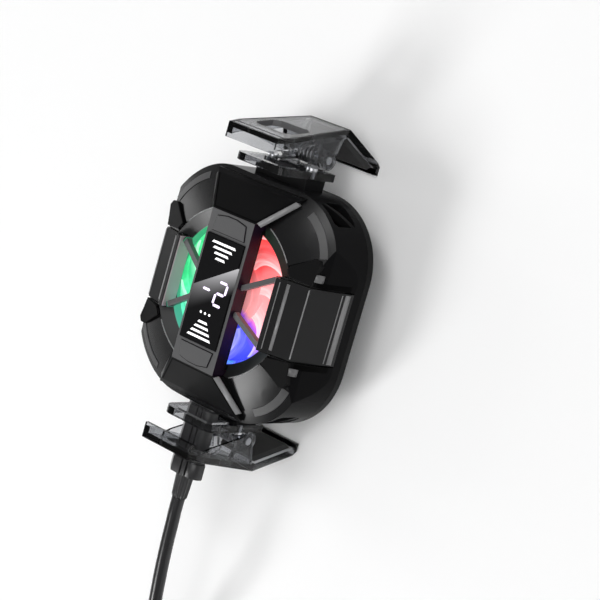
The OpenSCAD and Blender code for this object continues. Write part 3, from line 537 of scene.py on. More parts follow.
def soften(bm, width):
    sharp_from = radians(25)
    sharp = [e for e in bm.edges if e.calc_face_angle(0.0) > sharp_from]
    bmesh.ops.bevel(bm, geom=sharp, offset=width * MM, segments=2, affect="EDGES", profile=0.5,
                    clamp_overlap=True)


def tube(bm, points, radius, up=Vector((0, 0, 1))):
    """A round bar along points, with both ends drawn in to a blunt round."""
    sides, tip_out, tip_share = 8, 0.5, 0.6
    rings = []
    last = len(points) - 1
    for i, p in enumerate(points):
        along = (points[min(i + 1, last)] - points[max(i - 1, 0)]).normalized()
        across = along.cross(up).normalized()
        over = across.cross(along)
        ring = [(across * x + over * y) * radius for x, y in circle(1, sides)]
        tip = along * radius * tip_out
        if i == 0:
            rings.append([p - tip + r * tip_share for r in ring])
        rings.append([p + r for r in ring])
        if i == last:
            rings.append([p + tip + r * tip_share for r in ring])
    loft(bm, rings)


def smooth_path(points, parts):
    """A smooth line through the points, with this many parts between two of them."""
    out = []
    for i in range(len(points) - 1):
        a, b = points[max(i - 1, 0)], points[i]
        c, d = points[i + 1], points[min(i + 2, len(points) - 1)]
        for k in range(parts):
            t = k / parts
            out.append(0.5 * (2 * b + (c - a) * t + (2 * a - 5 * b + 4 * c - d) * t ** 2
                              + (3 * b - a - 3 * c + d) * t ** 3))
    out.append(points[-1])
    return out


# End panels: strips down their slopes and fine lines

BAR_HALF = 6.9
BAR_TOP = 23.5
PANEL_IN = 19.05
PANEL_OUT = 26.7
PANEL_OUT_HALF = 12.8
PANEL_OUT_H = 18.2


def make_panel_strips():
    """Wedge strips down the end panels' sloping edges, painted pale on the right as a painted highlight and
    black on the left as painted shade.
    """
    width, deep, gap, edge = 1.4, 0.9, 0.5, 0.08
    lean = Vector((0, 0, -0.55))
    bite = Vector((0, 0, -2))
    pale, dark = bmesh.new(), bmesh.new()
    for side in (1, -1):
        top_in = at_seat(side * BAR_HALF, PANEL_IN, BAR_TOP)
        top_out = at_seat(side * PANEL_OUT_HALF, PANEL_OUT, PANEL_OUT_H)
        along = (top_out - top_in).normalized()
        out = Vector((along.y, -along.x, 0)).normalized() * side
        down = (out + lean).normalized() * width
        inward = (bite - out).normalized() * deep
        start = top_in + along * gap
        face = [start, start + down, top_out + down, top_out]
        back = [p + inward for p in face]
        for way in (1, -1):
            loft(pale if side == way else dark, [turned(face, way), turned(back, way)])
    soften(pale, edge)
    soften(dark, edge)
    # Right-hand strips painted pale as a painted highlight, left-hand ones black as painted shade.
    piece("panel_strips", pale, PAINTED_LIT_STRIP_GREY)
    piece("left_panel_strips_painted_shade", dark, DEEP_BLACK)


def make_panel_lines():
    """Dark lines on the end panels, along the bar and down both slopes."""
    inset, width, up = 0.5, 0.3, 0.03
    first, last = 0.06, 0.98
    top_in = Vector((BAR_HALF, PANEL_IN, BAR_TOP))
    top_out = Vector((PANEL_OUT_HALF, PANEL_OUT, PANEL_OUT_H))
    corners = []
    for share in (first, last):
        p = top_in.lerp(top_out, share)
        corners.append([at_seat(side * (p.x - inset), p.y, p.z) for side in (-1, 1)])
    (in_left, in_right), (out_left, out_right) = corners
    normal = (in_right - in_left).cross(out_left - in_left).normalized()
    bm = bmesh.new()
    for ends in ((in_left, in_right), (in_left, out_left), (in_right, out_right)):
        for way in (1, -1):
            surface_bar(bm, turned(ends, way), turned([normal], way)[0], width, up)
    piece("panel_lines", bm, LINE_AND_PAINTED_SHADOW_BLACK, smooth=False)


# Dome: bands with a painted sheen round its corners, caps and blocks on the ribs, and painted highlight beads
# round the fan opening

RIM_R = 20.75
DOME_H = 19.8
DOME_EDGE_R = 20.8
DOME_BALL_R = 70.0
DOME_BALL_H = DOME_H - sqrt(DOME_BALL_R ** 2 - DOME_EDGE_R ** 2)
CORNER = Vector((9.9, 11.4))


def ball_h(x, y):
    return DOME_BALL_H + sqrt(DOME_BALL_R ** 2 - x * x - y * y)


def cover_h(x, y):
    """Height of the cover's dome or chamfers, whichever is lower."""
    corner_r, corner_h, corner_slope = 29.0, 17.6, 0.75
    side_x, side_h, side_slope = 25.9, 15.0, 1.24
    corner = corner_h + corner_slope * (corner_r - hypot(x, y))
    side = side_h + side_slope * (side_x - abs(x))
    return min(ball_h(x, y), corner, side)


def make_edge_bands():
    """Flat bands round the dome's four corners, a little paler than the dome as a painted sheen on its corner
    chamfers.
    """
    inner, outer, up, thick, edge = 14.1, 15.9, 0.14, 0.6, 0.1
    bands = bmesh.new()
    for sx, sy in FOUR_WAYS:
        rings = []
        for way in arc(1, first=19, last=64, steps=20):
            near, far = CORNER + Vector(way) * inner, CORNER + Vector(way) * outer
            section = rectangle(near, far, up, up - thick)
            rings.append([at_seat(sx * p.x, sy * p.y, cover_h(*p) + lift) for p, lift in section])
        loft(bands, rings)
    soften(bands, edge)
    # Painted sheen: the bands are a little paler than the dome.
    piece("edge_bands", bands, PAINTED_SHEEN_GREY)


def make_rib_ends():
    """Black caps over the ribs, each with a pale slanted end block."""
    rim_end = [(18.6, 10.0), (17.5, 11.9)]
    outer_end = [(22.7, 15.85), (24.05, 15.8), (24.75, 14.6), (24.3, 12.2), (23.9, 9.5)]
    over_dome, end_top, sink, cap_edge = 0.78, 18.32, 0.5, 0.2
    block = [(24.0, 18.0), (24.35, 18.0), (25.3, 16.7), (25.3, 15.0), (24.0, 15.0)]
    block_ends, block_edge = (10.7, 12.5), 0.14
    caps, blocks = bmesh.new(), bmesh.new()
    for sx, sy in FOUR_WAYS:
        low = [at_seat(sx * x, sy * y, cover_h(x, y) - sink) for x, y in rim_end + outer_end]
        high = [at_seat(sx * x, sy * y, ball_h(x, y) + over_dome) for x, y in rim_end]
        high += [at_seat(sx * x, sy * y, end_top) for x, y in outer_end]
        loft(caps, [low, high])
        loft(blocks, [[at_seat(sx * x, sy * y, h) for x, h in block] for y in block_ends])
    soften(caps, cap_edge)
    soften(blocks, block_edge)
    piece("rib_caps", caps, CAP_BLACK)
    piece("edge_blocks", blocks, BLOCK_GREY)


def make_rim_beads():
    """Thin pale beads on the dome's edge, between the ribs and the end panels, as painted highlight lines."""
    bead_r = 0.16
    line = arc(RIM_R, first=38, last=64.5, steps=18)
    bm = bmesh.new()
    for sx, sy in FOUR_WAYS:
        tube(bm, [at_seat(sx * x, sy * y, DOME_H) for x, y in line], bead_r)
    piece("rim_beads", bm, PAINTED_GLINT_GREY, crease=60)


# Side wings: beads on the folds and pale strips, both painted highlights, and black ends partly painted
# shadow. Places are in X and height.

WING_BAR = Vector((17.3, 21.5))
WING_STEP = Vector((18.2, 20.0))
WING_RIDGE = Vector((23.8, 18.3))
WING_KNEE = Vector((26.887, 9.2))
WING_EDGE = Vector((27.46, 6.8))
WALL_LINE = [(24.4, 16.86), (25.9, 15.0), (26.887, 9.2), (27.25, 7.1)]
WING_END = [(16.3, 20.6), (18.2, 19.4), (23.4, 17.6), (26.1, 9.4), (26.1, 6.0), (24.6, 6.0), (16.3, 17.6)]


def make_wing_beads():
    # Pale beads along each wing's ridge, knee and bar: painted highlight lines.
    parts = 8
    lines = ((WING_RIDGE, 8.5, 0.17), (WING_KNEE, 8.5, 0.14), (WING_BAR, 8.2, 0.11))
    bm = bmesh.new()
    for side in (1, -1):
        for place, half, bead_r in lines:
            along = [half * (2 * k / parts - 1) for k in range(parts + 1)]
            tube(bm, [at_seat(side * place.x, y, place.y) for y in along], bead_r)
    piece("wing_beads", bm, PAINTED_GLINT_GREY, crease=60)


def make_wing_strips():
    """Pale strips on each wing's step and low edge, as painted highlights."""
    up, sink, edge = 0.1, 0.2, 0.05
    strips = ((WING_STEP, WING_RIDGE, 0.02, 0.16, 8.2), (WING_KNEE, WING_EDGE, 0.38, 0.98, 8.7))
    bm = bmesh.new()
    for side in (1, -1):
        for start, end, first, last, half in strips:
            outline = rectangle(start.lerp(end, first), start.lerp(end, last), -half, half)
            plate(bm, [at_seat(side * p.x, side * y, p.y) for p, y in outline], up, sink)
    soften(bm, edge)
    piece("wing_strips", bm, PAINTED_GLINT_GREY)


def make_wing_ends():
    """Black liners at each wing's two ends, and black bands on the cover's wall beside them as a painted
    groove shadow.
    """
    liner_mid, liner_half_t = 9.2, 0.19
    band_near, band_far, band_out, band_in = 9.45, 10.8, 0.07, -0.4
    liner, painted_groove_shadow = bmesh.new(), bmesh.new()
    for side in (1, -1):
        for end in (1, -1):
            faces = [end * liner_mid - liner_half_t, end * liner_mid + liner_half_t]
            loft(liner, [[at_seat(side * x, y, h) for x, h in WING_END] for y in faces])
            # Painted shadow: flush black bands stand in for a groove's shade beside each wing's end.
            near, far = end * band_near, end * band_far
            section = ((band_out, near), (band_out, far), (band_in, far), (band_in, near))
            loft(painted_groove_shadow, [[at_seat(side * (x + out), y, h) for out, y in section] for x, h in WALL_LINE])
    piece("wing_liners", liner, DEEP_BLACK, smooth=False)
    piece("wing_end_painted_shadows", painted_groove_shadow, LINE_AND_PAINTED_SHADOW_BLACK)


def make_bar_lines():
    """Fine dark lines round the raised end plates of the display bar."""
    corners = mirrored([(5.35, 13.95), (4.72, 17.7), (1.5, 18.35)])
    width, up, sink = 0.2, 0.03, 0.05
    bm = bmesh.new()
    for way in (1, -1):
        for start, end in neighbours(corners):
            a, b = Vector(start) * way, Vector(end) * way
            side = (b - a).normalized().orthogonal() * width / 2
            prism(bm, [a - side, b - side, b + side, a + side], BAR_TOP - sink, BAR_TOP + up)
    piece("bar_lines", bm, DEEP_BLACK, smooth=False)


# Fan rotor: a cup-shaped hub and nine swept blades

HUB_R = 9.0
TIP_R = 16.5
ROTOR_LOW = 12.95
ROTOR_TOP = 16.8
BLADES = 9


def blade_point(u, v, first, lift):
    """A point of a blade, u from root to tip and v from its high edge to its low one."""
    sweep, chord, drop, camber = 0.55, 0.80, 2.9, 0.35
    root_r = HUB_R - 0.4
    root_chord, chord_taper = 1.06, 0.16
    radius = root_r + (TIP_R - root_r) * u
    angle = first - sweep * u * u + chord * (v - 0.5) * (root_chord - chord_taper * u)
    h = (ROTOR_LOW + ROTOR_TOP) / 2 - drop * (v - 0.5) + camber * sin(pi * v) + lift
    return at_seat(*polar(radius, angle), h)


def hub_profile():
    """Radii and heights of the hub: a cup with a rounded edge and a ring groove on its top."""
    hub_t = ROTOR_TOP - ROTOR_LOW
    in_and_down = [(0.8, hub_t), (0, hub_t), (0, 0.45), (0.15, 0.15), (0.45, 0), (1.6, 0), (1.7, 0.25),
                   (2.3, 0.25), (2.4, 0), (8.6, 0)]
    return [(HUB_R - side, ROTOR_TOP - down) for side, down in in_and_down]


def make_rotor():
    """The rotor, whose vertices carry their place across and along a blade for its finish."""
    across, along, half_t, hub_sides = 10, 8, 0.3, 64
    hub_mark = (0.6, 0.0)
    over = [(j / across, half_t) for j in range(across + 1)]
    section = over + [(v, -lift) for v, lift in reversed(over)]
    shares = [i / along for i in range(along + 1)]
    bm = bmesh.new()
    marks = []
    for first in circle_angles(BLADES):
        loft(bm, [[blade_point(u, v, first, lift) for v, lift in section] for u in shares])
        marks += [(v, u) for u in shares for v, lift in section]
    hub = [[at_seat(x, y, h) for x, y in circle(r, hub_sides)] for r, h in hub_profile()]
    loft(bm, hub)
    marks += [hub_mark] * (len(hub) * hub_sides)
    for key, name in enumerate(("across", "along")):
        layer = bm.verts.layers.float.new(name)
        for vert, mark in zip(bm.verts, marks):
            vert[layer] = mark[key]
    piece("fan_rotor", bm, LEDS_AND_PAINTED_BLADE_GLOW, "fan", ("rotor",))


# Clips: springs, and cheeks, lines and liners on the levers

CLIPS = (("upper", 1), ("lower", -1))
PIN_Y = 36.4
PIN_H = 2.5
SPRING_HALF = 2.97
SPRING_R = 2.0
SPRING_TURNS = 5.5
SPRING_WIRE = 0.6


def spring_line():
    """The wire's line at the upper clip: a leg on the bracket, the coil and a leg on the lever."""
    bracket_leg = [(33.95, 9.5), (34.0, 7.6), (34.15, 5.4)]
    lever_leg = [(38.7, 5.2), (39.9, 7.0), (40.7, 8.6)]
    turn_steps, leg_parts = 24, 4
    steps = int(turn_steps * SPRING_TURNS)
    coil = []
    for k in range(steps + 1):
        y, h = polar(SPRING_R, pi + 2 * pi * k / turn_steps)
        coil.append(at_seat(-SPRING_HALF + 2 * SPRING_HALF * k / steps, PIN_Y + y, PIN_H + h))
    before = [at_seat(-SPRING_HALF, y, h) for y, h in bracket_leg] + coil[:1]
    after = coil[-1:] + [at_seat(SPRING_HALF, y, h) for y, h in lever_leg]
    return smooth_path(before, leg_parts)[:-1] + coil + smooth_path(after, leg_parts)[1:]


def make_spring(name, way):
    up = Vector((1, 0, 0.01))
    bm = bmesh.new()
    tube(bm, turned(spring_line(), way), SPRING_WIRE / 2, up)
    wire = piece(name + "_spring_wire", bm, SPRING_STEEL, None, (name + "_spring",), crease=60)
    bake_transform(wire)


def cheek_outline():
    """Side view of a lever's cheek in Y and height: a round boss on the pin and a web up the lever."""
    boss_r = 2.45
    boss = [(PIN_Y + y, PIN_H + h) for y, h in arc(boss_r, first=118, last=318, steps=14)]
    lever_side = [(42.75, -0.6), (42.3, 2.2), (41.2, 9.0), (40.2, 15.0), (39.6, 18.6)]
    sweep = [(38.6, 18.3), (37.9, 16.6), (37.2, 13.6), (36.3, 9.6), (35.6, 6.6)]
    return boss + lever_side + sweep


def make_cheeks(name, way):
    inner, outer, edge = 6.45, 7.05, 0.14
    bm = bmesh.new()
    for side in (1, -1):
        rings = [[at_seat(side * x, y, h) for y, h in cheek_outline()] for x in (inner, outer)]
        loft(bm, [turned(ring, way) for ring in rings])
    soften(bm, edge)
    piece(name + "_cheeks", bm, SMOKE, name + "_clip")


LEVER_FRONT = Vector((40.1, 25.1))
LEVER_RIDGE = Vector((44.7, -2.8))
LEVER_T = 1.5
PASS_HOLE = mirrored([(4.4, 10.2), (6.0, 11.6), (6.0, 17.8), (4.4, 19.2)])


def lever_face(x, h, deep=0.0):
    """A point of the upper lever's outer face, or below it by a depth."""
    share = (LEVER_FRONT.y - h) / (LEVER_FRONT.y - LEVER_RIDGE.y)
    return at_seat(x, LEVER_FRONT.x + (LEVER_RIDGE.x - LEVER_FRONT.x) * share - deep, h)


def make_lever_lines(name, way):
    """Dark border lines on a lever's outer face, and a rib line at its finger end: painted shade along the
    smoked plastic's thick edges and the rib.
    """
    width, up = 0.45, 0.04
    border = mirrored([(7.5, 24.7), (8.25, 20.4), (6.15, -2.3)])
    rib = ((7.3, 22.9), (-7.3, 22.9))
    fall = LEVER_RIDGE - LEVER_FRONT
    normal = Vector((0, -fall.y, fall.x)).normalized()
    bm = bmesh.new()
    # Painted shade: opaque dark lines where the smoked plastic's edges and rib look dark.
    for ends in neighbours(border) + [rib]:
        line = turned([lever_face(*p) for p in ends], way)
        surface_bar(bm, line, turned([normal], way)[0], width, up)
    piece(name + "_lever_lines", bm, DEEP_BLACK, name + "_clip", smooth=False)


def make_hole_liner(name, way):
    """Thin grey liner in a lever's hole."""
    thick, top = 0.12, 0.02
    half_w = max(x for x, h in PASS_HOLE)
    middle_h = sum(h for x, h in PASS_HOLE) / len(PASS_HOLE)
    half_h = max(h for x, h in PASS_HOLE) - middle_h
    inner = []
    for x, h in PASS_HOLE:
        inner.append((x * (1 - thick / half_w), middle_h + (h - middle_h) * (1 - thick / half_h)))
    levels = ((PASS_HOLE, top), (inner, top), (inner, LEVER_T), (PASS_HOLE, LEVER_T))
    rings = [[lever_face(x, h, deep) for x, h in outline] for outline, deep in levels]
    bm = bmesh.new()
    loft(bm, [turned(ring, way) for ring in rings], hoop=True)
    piece(name + "_hole_liner", bm, SMOKE_EDGE, name + "_clip", smooth=False)


# Screws with cross recesses

SCREW_SIDES = 24


def cross_outline(reach, half):
    """Outline of a cross, with as many points as a screw's ring."""
    middle = (reach + half) / 2
    corner = [(reach, 0), (reach, half), (middle, half), (half, half), (half, middle), (half, reach)]
    points = []
    for c, s in ((1, 0), (0, 1), (-1, 0), (0, -1)):
        points += [(x * c - y * s, x * s + y * c) for x, y in corner]
    return points


def screw(bm, foot, axis, head_r, head_t, shank_r, shank_l):
    """A pan-head screw whose head sits on a foot point and points along an axis."""
    point_share, point_l = 0.7, 0.4
    a = axis.orthogonal().normalized()
    b = axis.cross(a)

    def disc(r):
        return circle(r, SCREW_SIDES)

    cross = cross_outline(head_r * 0.58, head_r * 0.15)
    levels = [(disc(shank_r * point_share), -shank_l), (disc(shank_r), point_l - shank_l), (disc(shank_r), 0),
              (disc(head_r), 0), (disc(head_r), head_t * 0.55), (disc(head_r * 0.93), head_t * 0.85),
              (disc(head_r * 0.78), head_t), (cross, head_t), (cross, head_t * 0.45)]
    loft(bm, [[foot + a * x + b * y + axis * height for x, y in outline] for outline, height in levels])


def make_screws():
    case_x, case_y, case_h = 20.2, 19.6, 1.6
    bracket_x, bracket_y, bracket_h = 6.4, 33.4, 7.5
    case, bracket = bmesh.new(), bmesh.new()
    for sx, sy in FOUR_WAYS:
        foot = at_seat(sx * case_x, sy * case_y, case_h)
        screw(case, foot, Vector((0, 0, -1)), head_r=1.7, head_t=1.0, shank_r=0.8, shank_l=7.0)
        foot = at_seat(sx * bracket_x, sy * bracket_y, bracket_h)
        screw(bracket, foot, Vector((0, sy, 0)), head_r=1.4, head_t=0.9, shank_r=0.8, shank_l=4.4)
    piece("case_screw_set", case, STEEL, replaced=("case_screws",))
    piece("bracket_screw_set", bracket, STEEL, replaced=("bracket_screws",))


# Plug at the cooler, along -Y

PLUG_Z = 25.8
PLUG_START = -29.4
PLUG_BLOCK = -43.0
PLUG_END = -47.0
RELIEF_END = -53.5


def plug_section(wide, thick):
    """Section of the plug's grip in X and Z: round sides, and two grooves on the right of each face."""
    r, flat = 2.75, 2.25
    groove_deep, groove_half, grooves = 0.5, 0.3, (0.45, 2.05)
    half = [(-flat, r)]
    for x in grooves:
        half += [(x - groove_half, r), (x - groove_half / 2, r - groove_deep),
                 (x + groove_half / 2, r - groove_deep), (x + groove_half, r)]
    half += [(flat + x, z) for x, z in arc(r, first=75, last=0, steps=5)]
    return [(x * wide, z * thick) for x, z in half + [(-x, -z) for x, z in half]]


def make_plug_grip():
    """The plug's grip, with a thicker block at its cable end."""
    edge = 0.35
    levels = [(PLUG_START, 0.94, 0.90), (PLUG_START - edge, 1, 1), (PLUG_BLOCK, 1, 1),
              (PLUG_BLOCK, 1.06, 1.11), (PLUG_BLOCK - edge, 1.09, 1.16), (PLUG_END + edge, 1.09, 1.16),
              (PLUG_END, 1.06, 1.10)]
    bm = bmesh.new()
    loft(bm, [[Vector((x, y, PLUG_Z + z)) for x, z in plug_section(*size)] for y, *size in levels])
    return piece("plug_body", bm, PLUG, replaced=("plug_grip",))


def make_relief():
    """Fluted sleeve that tapers from the plug to the cable."""
    root_r, taper, end_round = 2.4, 0.35, 0.25
    flutes, flute_deep, sides, steps = 8, 0.22, 64, 12
    rings = []
    for k in range(steps + 1):
        t = k / steps
        y = PLUG_END + (RELIEF_END - PLUG_END) * t
        radius = root_r - taper * t - (end_round if k == steps else 0.0)
        ring = [polar(radius - flute_deep * (1 + cos(flutes * a)), a) for a in circle_angles(sides)]
        rings.append([Vector((x, y, PLUG_Z + z)) for x, z in ring])
    bm = bmesh.new()
    loft(bm, rings)
    return piece("relief_sleeve", bm, PLUG, replaced=("strain_relief",), crease=60)


# Plug at the cable's far end, along +Y, and the tie round the coil

USB_X = 43.2
USB_Y = -135.8
USB_Z = 11.8
USB_L = 22.0
SHELL_L = 12.0
SHELL_HALF_W = 6.0
SHELL_HALF_T = 2.25
SHELL_WALL = 0.35
SHELL_ROOT_Y = USB_Y + USB_L - 0.5
SHELL_TIP_Y = USB_Y + USB_L + SHELL_L


def rounded_section(half_w, half_t, r):
    points = []
    for cx, cz, first in ((1, 1, 0), (-1, 1, 90), (-1, -1, 180), (1, -1, 270)):
        corner = arc(r, first, first + 90, steps=6)
        points += [(cx * (half_w - r) + x, cz * (half_t - r) + z) for x, z in corner]
    return points


def make_usb_grip():
    """Moulded grip with rounded ends, and finger grooves round its middle."""
    section = rounded_section(7.7, 3.8, 2.4)
    grooves, first, pitch = 5, 6.0, 2.0
    groove = [(0.3, 0.955, 0.93), (1.0, 0.955, 0.93), (1.3, 1, 1), (pitch, 1, 1)]
    levels = [(0.0, 0.88, 0.80), (0.5, 0.97, 0.95), (1.2, 1, 1), (first, 1, 1)]
    levels += [(first + pitch * k + y, *size) for k in range(grooves) for y, *size in groove]
    levels += [(USB_L - 1.0, 1, 1), (USB_L - 0.4, 0.97, 0.95), (USB_L, 0.90, 0.84)]
    bm = bmesh.new()
    loft(bm, [[Vector((USB_X + x * wide, USB_Y + y, USB_Z + z * thick)) for x, z in section]
              for y, wide, thick in levels])
    return piece("usb_a_body", bm, PLUG, replaced=("usb_a_grip",))


def make_usb_shell():
    """Steel shell with two windows in each broad face."""
    window_in, window_out, window_start, window_end = 1.2, 3.4, 5.0, 7.2
    x_cuts = [-SHELL_HALF_W, -window_out, -window_in, window_in, window_out, SHELL_HALF_W]
    y_cuts = [SHELL_ROOT_Y, SHELL_ROOT_Y + window_start, SHELL_ROOT_Y + window_end, SHELL_TIP_Y]
    windows = ((1, 1), (3, 1))
    low, high = USB_Z - SHELL_HALF_T, USB_Z + SHELL_HALF_T
    bm = bmesh.new()

    def face(corners):
        bm.faces.new([bm.verts.new(Vector(c) * MM) for c in corners])

    for z in (low, high):
        for i, (left, right) in enumerate(zip(x_cuts, x_cuts[1:])):
            for j, (ya, yb) in enumerate(zip(y_cuts, y_cuts[1:])):
                if (i, j) not in windows:
                    face([(USB_X + x, y, z) for x, y in rectangle(left, right, ya, yb)])
    for x in (USB_X - SHELL_HALF_W, USB_X + SHELL_HALF_W):
        for ya, yb in zip(y_cuts, y_cuts[1:]):
            face([(x, y, z) for y, z in rectangle(ya, yb, low, high)])
    shell = piece("usb_a_case", bm, STEEL, replaced=("usb_a_shell",), smooth=False)
    solid = shell.modifiers.new("wall", "SOLIDIFY")
    solid.thickness = SHELL_WALL * MM
    solid.offset = -1
    return shell


def make_usb_tongue():
    """The tongue inside the shell, with four contacts on it."""
    side_gap, gap, tip_gap, edge = 0.25, 0.1, 0.7, 0.15
    count, pitch, contact_half, contact_up, contact_edge = 4, 2.5, 0.5, 0.06, 0.03
    root, tip = SHELL_TIP_Y - 8, SHELL_TIP_Y - 1.3
    half = SHELL_HALF_W - SHELL_WALL - side_gap
    low, high = USB_Z - SHELL_HALF_T + SHELL_WALL + gap, USB_Z - gap
    section = rectangle(-half, half, low, high)
    ends = (SHELL_ROOT_Y, SHELL_TIP_Y - tip_gap)
    bm = bmesh.new()
    loft(bm, [[Vector((USB_X + x, y, z)) for x, z in section] for y in ends])
    soften(bm, edge)
    tongue = piece("usb_a_tongue", bm, PLUG)
    bm = bmesh.new()
    for k in range(count):
        x = USB_X + pitch * (k - (count - 1) / 2)
        outline = rectangle(x - contact_half, x + contact_half, root, tip)
        plate(bm, [Vector((px, py, high)) for px, py in outline], contact_up)
    soften(bm, contact_edge)
    contacts = piece("usb_a_contacts", bm, BRASS)
    return [tongue, contacts]


def make_tie():
    """Soft strap with rounded corners round the coil, with a raised keeper on top."""
    low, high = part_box("cable_tie")
    strap_t, inner_r, end_in, edge = 0.5, 1.55, 0.1, 0.08
    keeper, keeper_sink, keeper_out = [(-3.0, 0.0), (-2.6, 0.45), (2.6, 0.45), (3.0, 0.0)], 0.05, 0.3
    x_low, x_high = low.x / MM, high.x / MM
    mid = Vector(((low.y + high.y) / 2, (low.z + high.z) / 2)) / MM
    half = Vector(((high.y - low.y) / 2, (high.z - low.z) / 2)) / MM
    outer = rounded_section(half.x, half.y, inner_r + strap_t)
    inner = rounded_section(half.x - strap_t, half.y - strap_t, inner_r)
    near, far = x_low + end_in, x_high - end_in
    bm = bmesh.new()
    levels = ((outer, near), (outer, far), (inner, far), (inner, near))
    loft(bm, [[Vector((x, mid.x + y, mid.y + z)) for y, z in outline] for outline, x in levels], hoop=True)
    top = high.z / MM - keeper_sink
    ends = (x_low - keeper_out, x_high + keeper_out)
    loft(bm, [[Vector((x, mid.x + y, top + z)) for y, z in keeper] for x in ends])
    soften(bm, edge)
    return piece("tie_strap", bm, RUBBER, replaced=("cable_tie",))


# Cable: the route's points of the CAD source, in X, Y and Z, then its coil

CORD_D = 3.4
CORD_FLOOR_Z = 2.3
ROUTE = [(0, RELIEF_END, PLUG_Z), (0, RELIEF_END - CORD_D, PLUG_Z), (0, -60, 25.6), (0, -66, 25.3),
         (0, -72, 24.8), (0, -78, 24.1), (-0.4, -84, 22.8), (-2.1, -90, 20.3), (-4.4, -96, 16.4),
         (-6.6, -102, 11.6), (-7.9, -108, 7), (-8, -114, 3.7), (-8, -120, CORD_FLOOR_Z),
         (-8, -126, CORD_FLOOR_Z)]
COIL_TURNS = 4
COIL_PITCH = CORD_D + 0.5
COIL_MID_R = 20.4
COIL_OUT = COIL_MID_R + COIL_TURNS * COIL_PITCH / 2
TURN_STEPS = 24
COIL_STEPS = int(TURN_STEPS * (2 * COIL_TURNS + 0.25))
COIL_FIRST = 2
CLIMB_STEPS = 12
COIL_LEAD = 8
LEAD_R = 15
LEAD_STEPS = 9
LEAD_FIRST = 2


def coil_points():
    """The coil's lower layer, wound inwards, a climb, and its upper layer, wound outwards."""
    centre = Vector((ROUTE[-1][0] + COIL_OUT, ROUTE[-1][1], 0))
    points = []
    for k in range(COIL_FIRST, COIL_STEPS + 1):
        radius = COIL_OUT - COIL_PITCH * min(k, COIL_STEPS - k) / TURN_STEPS
        rise = max(0.0, min(1.0, (k - COIL_STEPS / 2 + CLIMB_STEPS / 2) / CLIMB_STEPS))
        x, y = polar(1, pi + radians(360 / TURN_STEPS * k))
        arm = Vector((x, y, 0)) * radius
        points.append(centre + arm + Vector((0, 0, CORD_FLOOR_Z + COIL_PITCH * rise)))
    return points


def coil_exit(end):
    """The lead from the coil's end: straight on, then curving in and up to the far plug."""
    points = []
    for k in range(1, LEAD_STEPS + 1):
        turn = radians(90 * max(0, k - LEAD_FIRST) / (LEAD_STEPS - LEAD_FIRST))
        rise = (USB_Z - end.z) * (1 - cos(pi * k / LEAD_STEPS)) / 2
        ahead = COIL_LEAD * min(1, k / LEAD_FIRST) + LEAD_R * sin(turn)
        points.append(end + Vector((ahead, LEAD_R * (1 - cos(turn)), rise)))
    points.append(points[-1] + Vector((0, CORD_D, 0)))
    return points


def make_cable():
    parts = 3
    lead_in = [Vector(p) for p in ROUTE]
    lead_in.append(lead_in[-1] - Vector((0, CORD_D, 0)))
    coil = coil_points()
    line = [p * MM for p in smooth_path(lead_in + coil + coil_exit(coil[-1]), parts)]
    data = bpy.data.curves.new("supply_cable", "CURVE")
    data.dimensions = "3D"
    data.bevel_depth = CORD_D / 2 * MM
    data.bevel_resolution = 5
    data.use_fill_caps = True
    spline = data.splines.new("POLY")
    spline.points.add(len(line) - 1)
    for point, place in zip(spline.points, line):
        point.co = (*place, 1)
    spline.use_smooth = True
    cable = bpy.data.objects.new("supply_cable", data)
    bpy.context.scene.collection.objects.link(cable)
    data.materials.append(SHEATH)
    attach(cable, "body")
    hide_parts("cable", "cable_coil")


# Display marks, in X and Y on the lens

LENS_TOP = 24.0
MARK_T = 0.03


def print_mark(bm, outline):
    prism(bm, outline, LENS_TOP, LENS_TOP + MARK_T)


def bar_mark(start, end, width):
    """Outline of a bar with pointed ends between two points."""
    a, b = Vector(start), Vector(end)
    along = (b - a).normalized()
    side = Vector((-along.y, along.x)) * width / 2
    tip = along * width / 2
    return [a, a + tip - side, b - tip - side, b, b - tip + side, a + tip + side]


def make_digits():
    """A minus sign and a figure two on a seven-segment display."""
    minus_left, minus_right = -2.8, -0.4
    left, right, low, mid, top = 1.5, 4.3, -2.8, 0.1, 3.0
    lean, gap, width = 0.07, 0.18, 0.62

    def leaning(x, y):
        return (x + lean * y, y)

    strokes = [((minus_left, mid), (minus_right, mid)), ((left + gap, top), (right - gap, top)),
               ((right, top - gap), (right, mid + gap)), ((right - gap, mid), (left + gap, mid)),
               ((left, mid - gap), (left, low + gap)), ((left + gap, low), (right - gap, low))]
    bm = bmesh.new()
    for a, b in strokes:
        print_mark(bm, bar_mark(leaning(*a), leaning(*b), width))
    piece("display_digits", bm, DIGIT, smooth=False)


def make_prints():
    """Plain level bars and dots at the two ends of the window."""
    bars, bar_y, bar_pitch, bar_half_t = 4, 11.6, 1.25, 0.28
    bar_half, bar_shrink, bar_slant = 3.9, 0.75, 0.4
    dots, dot_y, dot_pitch, dot_r, dot_sides = 3, -5.6, 1.4, 0.32, 16
    bm = bmesh.new()
    for way in (1, -1):
        for k in range(bars):
            y = way * (bar_y - bar_pitch * k)
            low, high = y - bar_half_t, y + bar_half_t
            half = bar_half - bar_shrink * k
            print_mark(bm, [(-half, low), (half, low), (half - bar_slant, high), (bar_slant - half, high)])
    for k in range(dots):
        middle = dot_pitch * (k - 1)
        print_mark(bm, [(middle + x, dot_y + y) for x, y in circle(dot_r, dot_sides)])
    piece("display_bars", bm, PRINT, smooth=False)


# Stage and light, in metres

LIGHT_AIM = Vector((0, 0, 0.02))


